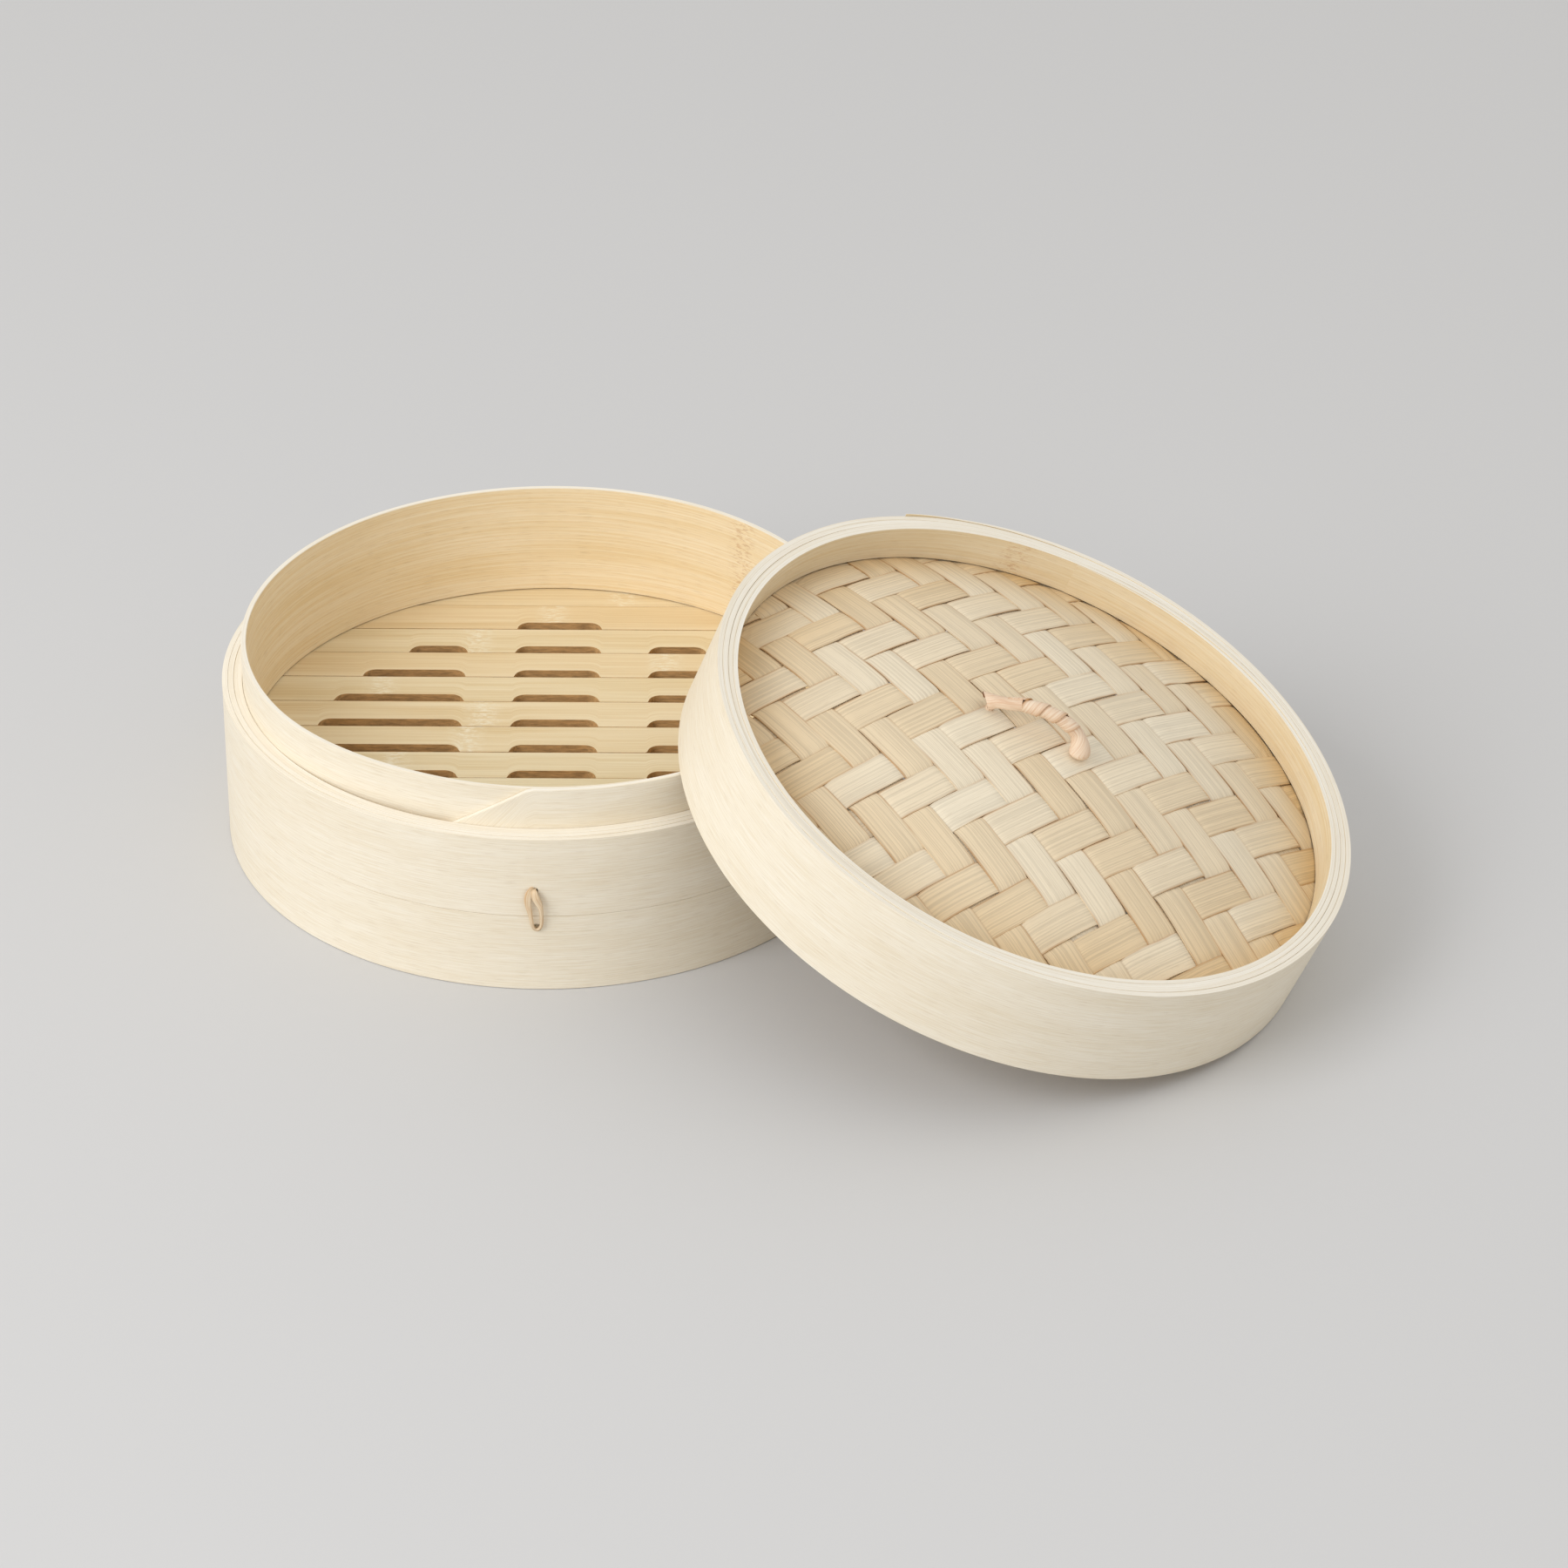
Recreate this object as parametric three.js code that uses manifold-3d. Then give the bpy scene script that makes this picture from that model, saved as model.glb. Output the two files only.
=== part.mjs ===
// Bamboo steamer: a one-tier basket with its woven lid taken off and leant on the basket's rim.
// Millimetres, +Z up, table at z = 0. X runs almost along the floor slats, Y across them.
import * as THREE from "three";
import { mergeVertices } from "three/addons/utils/BufferGeometryUtils.js";
import Module from "manifold-3d";

const wasm = await Module();
wasm.setup();

// Clearances
const fitGap = 0.3; // between two pieces that touch in the real object
const plyGap = 0.15; // between the turns of one rolled strip
const weaveGap = 0.2; // between two strips where they cross
const featherTip = 0.2; // thickness left at a strip's pared end

// Rolled hoops
const hoopStep = 7.2; // degrees between two sections
const hoopLap = 36; // degrees over which a rolled strip's end is pared thin
const hoopLead = 14.4; // degrees before the lap where the strip starts to step in
const lowerBandStart = 144; // degrees, where each strip's outer end lies
const upperBandStart = 108;
const floorRingStart = 72;
const lidOuterStart = 108;
const lidUpperStart = -36;
const lidLowerStart = 72;

// Basket
const outerRadius = 105;
const shoulderHeight = 54.8; // top of the outer bands, where the lid or a second tier sits
const rimHeight = 68.4; // top of the inner hoop
const bandSeamHeight = 27; // joint between the lower and the upper outer band
const bandPly = 1.8;
const bandPlies = 3;
const innerHoopPly = 1.75;
const innerHoopLap = 43.2; // degrees by which the inner hoop's ends overlap
const innerHoopStart = -111.9; // degrees, the lapped end that shows at the front
const scarfAngle = 21.6; // degrees along the hoop taken up by its slanted end
const scarfRise = 21.9;
const ringThickness = 3.2;

// Slatted floor
const floorHeight = 29;
const slatThickness = 4.7;
const slatPitch = 16;
const seamOffset = 5; // how far behind the centre the nearest seam lies
const floorTurn = 1.4; // degrees by which the slats are turned from X
const narrowestSlat = 12;
const notchDepth = 4.4;
const notchRun = 4.2; // length of a notch's rounded end
const middleNotchLength = 28.5;
const sideNotchStart = 30.5;
const shortestNotch = 10;
const notchCircle = 78.3; // no notch reaches outside this radius
const notchAside = 1.5; // middle of the notches, to the right of the basket's
const notchAhead = 7.4; // and in front of it
const crossbarWidth = 10;
const crossbarThickness = 6;
const crossbarOffset = 22.4; // under the plain columns between the notches

// Cane ties through the outer bands
const tieAzimuth = -89.4; // degrees, the tie that shows at the front
const tieCount = 2;
const tieHalfHeight = 7.7;
const tieHalfWidth = 1.8;
const tieCentreHeight = 29.8;
const tieCaneWidth = 2.1;
const tieCaneThickness = 1.1;
const tieBite = 4; // how far the loop dips into the wall at its two ends
const tieBend = 14; // higher makes the dip shorter
const tieHoleRadius = 2.7;

// Lid
const lidHeight = 36.5;
const lidPly = 1.5;
const lidPlies = 2;
const lidRecess = 12.9; // rim top to the middle of the weave at its edge
const lidLowerHoopHeight = 7;
const lidLowerHoopThickness = 3;
const lidContactWidth = 114.4; // between the two places where its skirt sits on the rim
const lidAzimuth = -25.1; // degrees, the side of the basket that the lid leans on

// Woven panel of the lid
const domeRise = 15.5;
const stripThickness = 0.6;
const stripSpacing = 0.9; // open joint between neighbouring strips
const warpCount = 17;
const weftCount = 16;
const weaveTurn = -20; // degrees from the lean direction to the weft
const twillFloat = 2; // strips passed over, and then under
const twillShift = 2; // where the pattern starts in the first row
const panelGrip = 1.6; // width of the panel's edge held between the two inner hoops

// Cane handle
const handleHalfSpan = 15.5;
const handleRise = 9;
const handleSkew = 0.22; // how far the arch's crown leans towards its low foot
const handleCoreRadius = 1.4;
const handleAlong = -3.9; // place of its middle on the lid, along the lean direction
const handleAcross = 0.7;
const handleTurn = 12; // degrees from the lean direction
const handleTail = 7; // length of each end bent flat under the weave
const wrapTurns = 6;
const wrapThickness = 0.7;
const wrapClearance = 0.25;
const wrapCover = 0.82; // share of the wrap's pitch that the cane strip covers
const wrapFrom = 0.1; // share of the arch where the wrap starts
const wrapTo = 0.88;

// Steps of the curved pieces
const tieSteps = 16;
const wrapStepsPerTurn = 10;
const coreSides = 8;
const archSteps = 12;
const panelSides = 48;
const holeSides = 12;
const notchSteps = 3;
const slatEndSteps = 4;
const sameVertex = 1e-4;

// Sizes that follow from the ones above
const leadShare = hoopLead / (hoopLead + hoopLap);
const spigotRadius = boreOf(outerRadius, bandPly, bandPlies) - fitGap;
const ringBore = boreOf(spigotRadius, ringThickness, 1);
const slatRadius = spigotRadius - fitGap;
const slatBottom = floorHeight - slatThickness;
const skirtBore = boreOf(outerRadius, lidPly, lidPlies);
const lidInnerHoopRadius = skirtBore - fitGap;
const lidMouthRadius = boreOf(lidInnerHoopRadius, lidPly, lidPlies);
const panelRadius = lidMouthRadius + panelGrip;
const panelHeight = lidHeight - lidRecess;
const stripLift = (stripThickness + weaveGap) / 2;
const stripReach = stripLift + stripThickness / 2;
const warpPitch = (2 * panelRadius) / warpCount;
const weftPitch = (2 * panelRadius) / weftCount;
const apexHeight = panelHeight + domeRise;
const lidContactReach = Math.sqrt(skirtBore ** 2 - (lidContactWidth / 2) ** 2);
const lidLean = Math.asin((rimHeight + fitGap) / (outerRadius + lidContactReach)); // from level

const radians = THREE.MathUtils.degToRad;
const clamp = THREE.MathUtils.clamp;

// Materials
const paleBamboo = bamboo(0xefe2c4, 0.62);
const honeyBamboo = bamboo(0xe3c795, 0.6);
const slatBamboo = bamboo(0xdcc08c, 0.6);
const stripTints = [0xe3d2ac, 0xdcc598, 0xe0c8a2].map((tint) => bamboo(tint, 0.66));
const cane = bamboo(0xdcb999, 0.55);

function bamboo(color, roughness) {
  return new THREE.MeshStandardMaterial({ color, roughness, metalness: 0 });
}

function piece(name, geometry, material) {
  const mesh = new THREE.Mesh(geometry, material);
  mesh.name = name;
  return mesh;
}

function numbered(stem, index) {
  return `${stem}_${String(index + 1).padStart(2, "0")}`;
}

// Smallest inside radius of a hoop rolled from one strip, at the bulge of its inner lap.
function boreOf(outside, ply, plies) {
  return outside - (plies - 1 + leadShare) * (ply + plyGap) - ply;
}

// Closed solid through a row of rings of equal point count. Each ring runs counter-clockwise
// when seen from the end of the row. An endless row joins its last ring to its first.
function loft(rings, endless = false) {
  const sides = rings[0].length;
  const positions = rings.flat().flatMap((point) => point.toArray());
  const indices = [];
  const corner = (ring, side) => (ring % rings.length) * sides + (side % sides);
  const spans = endless ? rings.length : rings.length - 1;
  for (let ring = 0; ring < spans; ring++) {
    for (let side = 0; side < sides; side++) {
      const [a, b] = [corner(ring, side), corner(ring, side + 1)];
      const [c, d] = [corner(ring + 1, side + 1), corner(ring + 1, side)];
      indices.push(a, b, c, a, c, d);
    }
  }
  for (let side = 1; side < sides - 1 && !endless; side++) {
    const last = rings.length - 1;
    indices.push(corner(0, 0), corner(0, side + 1), corner(0, side));
    indices.push(corner(last, 0), corner(last, side), corner(last, side + 1));
  }
  const geometry = new THREE.BufferGeometry();
  geometry.setAttribute("position", new THREE.Float32BufferAttribute(positions, 3));
  geometry.setIndex(indices);
  geometry.computeVertexNormals();
  return geometry;
}

function toSolid(geometry) {
  const bare = geometry.clone();
  bare.deleteAttribute("normal");
  bare.deleteAttribute("uv");
  const merged = mergeVertices(bare, sameVertex);
  const vertProperties = merged.getAttribute("position").array;
  const triVerts = new Uint32Array(merged.index.array);
  return new wasm.Manifold(new wasm.Mesh({ numProp: 3, vertProperties, triVerts }));
}

function toGeometry(solid) {
  const mesh = solid.getMesh();
  const geometry = new THREE.BufferGeometry();
  geometry.setAttribute("position", new THREE.BufferAttribute(mesh.vertProperties, 3));
  geometry.setIndex(new THREE.BufferAttribute(mesh.triVerts, 1));
  geometry.computeVertexNormals();
  return geometry;
}

// Square section of a hoop at one azimuth, in degrees.
function hoopRing(azimuth, inside, outside, low, high) {
  const direction = new THREE.Vector3(Math.cos(radians(azimuth)), Math.sin(radians(azimuth)), 0);
  const at = (radius, height) => direction.clone().multiplyScalar(radius).setZ(height);
  return [at(inside, low), at(inside, high), at(outside, high), at(outside, low)];
}

// Degrees turned at each section of a strip rolled through the given angle.
function sectionAngles(total) {
  const steps = Math.round(total / hoopStep);
  return Array.from({ length: steps + 1 }, (_, index) => (total * index) / steps);
}

// Hoop rolled from one flat strip. Both ends are pared thin over the lap, so that the hoop
// stays round outside and inside while each turn steps in under the one before it.
function rolledHoop({ outside, ply, plies, low, high, start }) {
  const total = 360 * plies + hoopLap;
  const rings = sectionAngles(total).map((turned) => {
    let stepsIn = 0;
    for (let turn = 1; turn <= plies; turn++) {
      const past = turned - 360 * turn + hoopLead;
      stepsIn += clamp(past / (hoopLead + hoopLap), 0, 1);
    }
    const fromEnd = Math.min(turned, total - turned);
    const thickness = featherTip + (ply - featherTip) * clamp(fromEnd / hoopLap, 0, 1);
    const surface = outside - stepsIn * (ply + plyGap);
    return hoopRing(start + turned, surface - thickness, surface, low, high);
  });
  return loft(rings);
}

// Tall inner wall of the basket: one turn whose outer end is cut on a slant and shows above
// the shoulder, while the other end slips inside it and is pared thin.
function innerHoopGeometry() {
  const low = floorHeight + fitGap;
  const total = 360 + innerHoopLap;
  const rings = sectionAngles(total).map((turned) => {
    const stepIn = clamp((turned - 360 + hoopLap) / hoopLap, 0, 1);
    const taper = clamp((total - turned) / innerHoopLap, 0, 1);
    const thickness = featherTip + (innerHoopPly - featherTip) * taper;
    const surface = spigotRadius - stepIn * (innerHoopPly + plyGap);
    const high = rimHeight - scarfRise * clamp(1 - turned / scarfAngle, 0, 1);
    return hoopRing(innerHoopStart + turned, surface - thickness, surface, low, high);
  });
  return loft(rings);
}

function tieAngles() {
  return Array.from({ length: tieCount }, (_, index) => tieAzimuth + (360 * index) / tieCount);
}

// Outer band of the basket with the holes that the cane ties pass through.
function outerBandGeometry(low, high, start, holeHeight) {
  const roll = { outside: outerRadius, ply: bandPly, plies: bandPlies, low, high, start };
  let band = toSolid(rolledHoop(roll));
  for (const azimuth of tieAngles()) {
    const drill = new THREE.CylinderGeometry(tieHoleRadius, tieHoleRadius, outerRadius, holeSides);
    drill.translate(0, outerRadius, 0);
    drill.rotateZ(radians(azimuth - 90));
    drill.translate(0, 0, holeHeight);
    band = band.subtract(toSolid(drill));
  }
  return toGeometry(band);
}

// Cane loop that straddles the seam of the outer bands and dips into a hole at each end. Its inner
// and outer edges are two ellipses.
function tieGeometry(azimuth) {
  const half = tieCaneWidth / 2;
  const rings = [];
  for (let step = 0; step < tieSteps; step++) {
    const turn = (2 * Math.PI * step) / tieSteps;
    const bite = tieBite * Math.pow(Math.abs(Math.cos(turn)), tieBend);
    const under = outerRadius + fitGap - bite;
    const at = (across, depth) =>
      new THREE.Vector3(
        under + depth,
        -(tieHalfWidth + across) * Math.sin(turn),
        tieCentreHeight + (tieHalfHeight + across) * Math.cos(turn),
      );
    rings.push([at(-half, 0), at(-half, tieCaneThickness), at(half, tieCaneThickness), at(half, 0)]);
  }
  return loft(rings, true).rotateZ(radians(azimuth));
}

function arcPoints(radius, from, to, steps) {
  return Array.from({ length: steps + 1 }, (_, index) => {
    const angle = from + ((to - from) * index) / steps;
    return new THREE.Vector2(radius * Math.cos(angle), radius * Math.sin(angle));
  });
}

// Steam notch in a slat's front edge, from left to right, with rounded inner corners.
function notchPoints(left, right, front) {
  const corner = (index) => (Math.PI / 2) * (index / notchSteps);
  const points = [];
  for (let index = 0; index <= notchSteps; index++) {
    const x = left + notchRun * (1 - Math.cos(corner(index)));
    points.push(new THREE.Vector2(x, front + notchDepth * Math.sin(corner(index))));
  }
  for (let index = notchSteps; index >= 0; index--) {
    const x = right - notchRun * (1 - Math.cos(corner(index)));
    points.push(new THREE.Vector2(x, front + notchDepth * Math.sin(corner(index))));
  }
  return points;
}

// Left and right ends of the notches in one seam: a middle one, and one each side if there is room.
function notchSpans(front) {
  const spans = [];
  const half = middleNotchLength / 2;
  const along = front + notchAhead;
  if (Math.hypot(half, along) > notchCircle) return spans;
  const reach = Math.sqrt(notchCircle ** 2 - along ** 2);
  const sides = reach - sideNotchStart > shortestNotch;
  if (sides) spans.push([-reach, -sideNotchStart]);
  spans.push([-half, half]);
  if (sides) spans.push([sideNotchStart, reach]);
  return spans.map((ends) => ends.map((x) => x + notchAside));
}

// One floor slat between two seams, its ends following the wall.
function slatGeometry(front, back) {
  const angleAt = (y) => Math.asin(clamp(y / slatRadius, -1, 1));
  const [low, high] = [angleAt(front), angleAt(back)];
  const right = arcPoints(slatRadius, low, high, slatEndSteps);
  const left = arcPoints(slatRadius, Math.PI - high, Math.PI - low, slatEndSteps);
  const notches = notchSpans(front).flatMap(([from, to]) => notchPoints(from, to, front));
  const outline = [...notches, ...right, ...left];
  const distinct = outline.filter((point, index) => {
    const next = outline[(index + 1) % outline.length];
    return point.distanceTo(next) > sameVertex;
  });
  const shape = new THREE.Shape(distinct);
  const slat = new THREE.ExtrudeGeometry(shape, { depth: slatThickness, bevelEnabled: false });
  return slat.translate(0, 0, slatBottom).rotateZ(radians(floorTurn));
}

// Places of the seams between slats, from the back to the front.
function floorSeams() {
  const reach = slatRadius - narrowestSlat;
  const most = Math.floor((reach - seamOffset) / slatPitch);
  const least = Math.ceil((-reach - seamOffset) / slatPitch);
  return Array.from({ length: most - least + 1 }, (_, index) => seamOffset + (most - index) * slatPitch);
}

function floorSlats() {
  const seams = floorSeams();
  return [...seams, -slatRadius].map((front, index) => {
    const back = index === 0 ? slatRadius : seams[index - 1] - fitGap;
    return piece(numbered("floor_slat", index), slatGeometry(front, back), slatBamboo);
  });
}

// Bar under the slats, across them, its ends cut to meet the floor ring.
function crossbarGeometry(offset) {
  const endAt = (x) => Math.sqrt((ringBore - fitGap) ** 2 - x ** 2);
  const [left, right] = [offset - crossbarWidth / 2, offset + crossbarWidth / 2];
  const shape = new THREE.Shape();
  shape.moveTo(left, -endAt(left));
  shape.lineTo(right, -endAt(right));
  shape.lineTo(right, endAt(right));
  shape.lineTo(left, endAt(left));
  const bar = new THREE.ExtrudeGeometry(shape, { depth: crossbarThickness, bevelEnabled: false });
  const bottom = slatBottom - fitGap - crossbarThickness;
  return bar.translate(0, 0, bottom).rotateZ(radians(floorTurn));
}

function basket() {
  const group = new THREE.Group();
  const [tieLow, tieHigh] = [tieCentreHeight - tieHalfHeight, tieCentreHeight + tieHalfHeight];
  const seam = fitGap / 2;
  const lower = outerBandGeometry(0, bandSeamHeight - seam, lowerBandStart, tieLow);
  const upper = outerBandGeometry(bandSeamHeight + seam, shoulderHeight, upperBandStart, tieHigh);
  const ring = rolledHoop({
    outside: spigotRadius,
    ply: ringThickness,
    plies: 1,
    low: 0,
    high: slatBottom - fitGap,
    start: floorRingStart,
  });
  group.add(
    piece("base_lower_band", lower, paleBamboo),
    piece("base_upper_band", upper, paleBamboo),
    piece("base_inner_hoop", innerHoopGeometry(), honeyBamboo),
    piece("base_floor_ring", ring, honeyBamboo),
    ...floorSlats(),
    piece("floor_crossbar_left", crossbarGeometry(-crossbarOffset), slatBamboo),
    piece("floor_crossbar_right", crossbarGeometry(crossbarOffset), slatBamboo),
  );
  tieAngles().forEach((azimuth, index) => {
    group.add(piece(numbered("wall_tie", index), tieGeometry(azimuth), cane));
  });
  return group;
}

// Height of the woven panel's middle surface above its edge.
function domeAt(x, y) {
  return domeRise * (1 - (x * x + y * y) / lidMouthRadius ** 2);
}

function centresOf(count, pitch) {
  return Array.from({ length: count }, (_, index) => (index - (count - 1) / 2) * pitch);
}

// Two over, two under, moved on by one strip in each row.
function weftIsOver(weft, warp) {
  const step = THREE.MathUtils.euclideanModulo(warp - weft + twillShift, 2 * twillFloat);
  return step < twillFloat;
}

// Heights along one strip: level over or under each crossing, sloping only in the open joints.
function crossingStations(crossings, crossHalfWidth, isOver) {
  const level = (index) => (isOver(index) ? stripLift : -stripLift);
  const last = crossings.length - 1;
  const stations = [{ x: crossings[0] - crossHalfWidth - panelGrip, level: level(0) }];
  for (let index = 1; index <= last; index++) {
    const [before, after] = [level(index - 1), level(index)];
    const middle = (crossings[index - 1] + crossings[index]) / 2;
    if (before === after) {
      stations.push({ x: middle, level: after });
    } else {
      stations.push({ x: crossings[index - 1] + crossHalfWidth, level: before });
      stations.push({ x: crossings[index] - crossHalfWidth, level: after });
    }
  }
  stations.push({ x: crossings[last] + crossHalfWidth + panelGrip, level: level(last) });
  return stations;
}

// One flat strip along X at the given lateral place, trimmed to the round panel.
function stripGeometry(lateral, halfWidth, stations, trim, holes) {
  const half = stripThickness / 2;
  const rings = stations.map(({ x, level }) => {
    const at = (y, lift) => new THREE.Vector3(x, y, domeAt(x, y) + level + lift);
    const [right, left] = [lateral - halfWidth, lateral + halfWidth];
    return [at(right, -half), at(left, -half), at(left, half), at(right, half)];
  });
  return toGeometry(toSolid(loft(rings)).intersect(trim).subtract(holes));
}

// Holes in the weave for the two legs of the handle, in the frame of the strips.
function legHoles(turn) {
  const reach = domeRise + stripReach;
  const legHole = handleCoreRadius + fitGap;
  const holes = [-1, 1].map((side) => {
    const hole = new THREE.CylinderGeometry(legHole, legHole, 2 * reach, holeSides);
    hole.rotateX(Math.PI / 2);
    hole.translate(side * handleHalfSpan, 0, domeRise);
    hole.rotateZ(radians(handleTurn));
    hole.translate(handleAlong, handleAcross, 0);
    hole.rotateZ(-turn);
    return toSolid(hole);
  });
  return holes[0].add(holes[1]);
}

function tintOf(index) {
  return stripTints[index % stripTints.length];
}

function wovenPanel() {
  const panel = new THREE.Group();
  const disc = new THREE.CylinderGeometry(panelRadius, panelRadius, 4 * domeRise, panelSides);
  const trim = toSolid(disc.rotateX(Math.PI / 2));
  const warps = centresOf(warpCount, warpPitch);
  const wefts = centresOf(weftCount, weftPitch);
  const warpHalf = (warpPitch - stripSpacing) / 2;
  const weftHalf = (weftPitch - stripSpacing) / 2;
  const weftTurn = radians(weaveTurn);
  const warpTurn = radians(weaveTurn + 90);
  wefts.forEach((lateral, weft) => {
    const stations = crossingStations(warps, warpHalf, (warp) => weftIsOver(weft, warp));
    const strip = stripGeometry(lateral, weftHalf, stations, trim, legHoles(weftTurn));
    const mesh = piece(numbered("lid_weft", weft), strip, tintOf(weft));
    mesh.rotation.z = weftTurn;
    panel.add(mesh);
  });
  warps.forEach((lateral, warp) => {
    const stations = crossingStations(wefts, weftHalf, (weft) => !weftIsOver(weft, warp));
    const strip = stripGeometry(-lateral, warpHalf, stations, trim, legHoles(warpTurn));
    const mesh = piece(numbered("lid_warp", warp), strip, tintOf(warp + 1));
    mesh.rotation.z = warpTurn;
    panel.add(mesh);
  });
  panel.position.z = panelHeight;
  return panel;
}

// Middle line of the handle's arch, from one foot to the other, with its outward normal.
function archAt(share) {
  const angle = Math.PI * share;
  const swell = Math.sin(angle) * (1 - handleSkew * Math.cos(angle));
  const height = stripReach + handleRise * swell;
  const point = new THREE.Vector3(-handleHalfSpan * Math.cos(angle), 0, height);
  const climb = handleRise * (Math.cos(angle) - handleSkew * Math.cos(2 * angle));
  const normal = new THREE.Vector3(-climb, 0, handleHalfSpan * Math.sin(angle));
  return { point, normal: normal.normalize() };
}

// Round cane bent into an arch, its two ends passing through the weave and bent flat below it.
function handleCoreGeometry() {
  const tailReach = Math.hypot(handleAlong, handleAcross) + handleHalfSpan + handleTail;
  const fall = domeRise - domeAt(tailReach, 0);
  const drop = fall + stripReach + fitGap + handleCoreRadius;
  const bend = handleCoreRadius;
  const foot = (side) => [
    { x: handleHalfSpan + handleTail, z: -drop, lean: 90 },
    { x: handleHalfSpan + bend, z: -drop, lean: 90 },
    { x: handleHalfSpan, z: bend - drop, lean: 0 },
  ].map(({ x, z, lean }) => ({
    point: new THREE.Vector3(side * x, 0, z),
    normal: new THREE.Vector3(side * Math.cos(radians(lean)), 0, Math.sin(radians(lean))),
  }));
  const arch = Array.from({ length: archSteps + 1 }, (_, index) => archAt(index / archSteps));
  const path = [...foot(-1), ...arch, ...foot(1).reverse()];
  const rings = path.map(({ point, normal }) =>
    Array.from({ length: coreSides }, (_, side) => {
      const angle = (2 * Math.PI * side) / coreSides;
      const spoke = normal.clone().multiplyScalar(Math.sin(angle));
      spoke.y = Math.cos(angle);
      return point.clone().addScaledVector(spoke, handleCoreRadius);
    }),
  );
  return loft(rings);
}

// Least gap between one turn of the wrap and the next, measured on the points of their edges.
function leastTurnGap(rings) {
  const gaps = rings.slice(wrapStepsPerTurn).map((next, index) => {
    const [inner, outer] = [rings[index][3], rings[index][2]];
    return Math.min(next[0].distanceTo(inner), next[1].distanceTo(outer));
  });
  return Math.min(...gaps);
}

// Flat cane strip wound round the arch, narrower on the inside of the bend than on the outside.
function handleWrapGeometry() {
  const inside = handleCoreRadius + wrapClearance;
  const perTurn = (wrapTo - wrapFrom) / wrapTurns;
  const half = (perTurn * wrapCover) / 2;
  const steps = wrapTurns * wrapStepsPerTurn;
  const rings = [];
  for (let step = 0; step <= steps; step++) {
    const share = wrapFrom + ((wrapTo - wrapFrom) * step) / steps;
    const angle = (2 * Math.PI * step) / wrapStepsPerTurn;
    const at = (along, radius) => {
      const { point, normal } = archAt(along);
      const spoke = normal.multiplyScalar(Math.cos(angle));
      spoke.y = Math.sin(angle);
      return point.addScaledVector(spoke, radius);
    };
    const outside = inside + wrapThickness;
    rings.push([
      at(share - half, inside),
      at(share - half, outside),
      at(share + half, outside),
      at(share + half, inside),
    ]);
  }
  console.log(`handle_wrap: least gap between its turns ${leastTurnGap(rings).toFixed(2)} mm`);
  return loft(rings);
}

function handle() {
  const group = new THREE.Group();
  group.add(
    piece("handle_core", handleCoreGeometry(), cane),
    piece("handle_wrap", handleWrapGeometry(), cane),
  );
  group.rotation.z = radians(handleTurn);
  group.position.set(handleAlong, handleAcross, apexHeight);
  return group;
}

// The lid in its own frame: axis on Z, skirt bottom at z = 0, X towards the side it leans to.
function lid() {
  const group = new THREE.Group();
  const wall = { ply: lidPly, plies: lidPlies, high: lidHeight };
  const ledge = { ply: lidLowerHoopThickness, plies: 1 };
  const edgeDrop = -domeAt(panelRadius, 0);
  const upperLow = panelHeight + stripReach + fitGap;
  const lowerHigh = panelHeight - stripReach - edgeDrop - fitGap;
  const lowerLow = lowerHigh - lidLowerHoopHeight;
  const inside = { outside: lidInnerHoopRadius };
  const outer = rolledHoop({ ...wall, outside: outerRadius, low: 0, start: lidOuterStart });
  const upper = rolledHoop({ ...wall, ...inside, low: upperLow, start: lidUpperStart });
  const lower = rolledHoop({
    ...ledge,
    ...inside,
    low: lowerLow,
    high: lowerHigh,
    start: lidLowerStart,
  });
  group.add(
    piece("lid_outer_hoop", outer, paleBamboo),
    piece("lid_upper_inner_hoop", upper, honeyBamboo),
    piece("lid_lower_inner_hoop", lower, honeyBamboo),
    wovenPanel(),
    handle(),
  );
  return group;
}

// The lid stands on the table at the far side of its skirt. Two places of the skirt's inner edge,
// a chord apart, lie on the outer edge of the basket's rim.
function leaningLid() {
  const rimReach = Math.sqrt(spigotRadius ** 2 - (lidContactWidth / 2) ** 2);
  const tilted = lid();
  tilted.rotation.y = lidLean;
  tilted.position.x = rimReach + lidContactReach * Math.cos(lidLean);
  tilted.position.z = outerRadius * Math.sin(lidLean);
  const turned = new THREE.Group();
  turned.rotation.z = radians(lidAzimuth);
  turned.add(tilted);
  return turned;
}

// The origin is the middle of the object's footprint on the table.
const steamer = new THREE.Group();
const placed = new THREE.Group();
placed.add(basket(), leaningLid());
steamer.add(placed);
const box = new THREE.Box3().setFromObject(placed, true);
const middle = box.getCenter(new THREE.Vector3());
placed.position.set(-middle.x, -middle.y, -box.min.z);

export default steamer;
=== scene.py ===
import math

import bpy
import numpy as np
from bpy.props import FloatProperty, FloatVectorProperty, IntProperty, PointerProperty
from mathutils import Matrix, Vector


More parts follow.
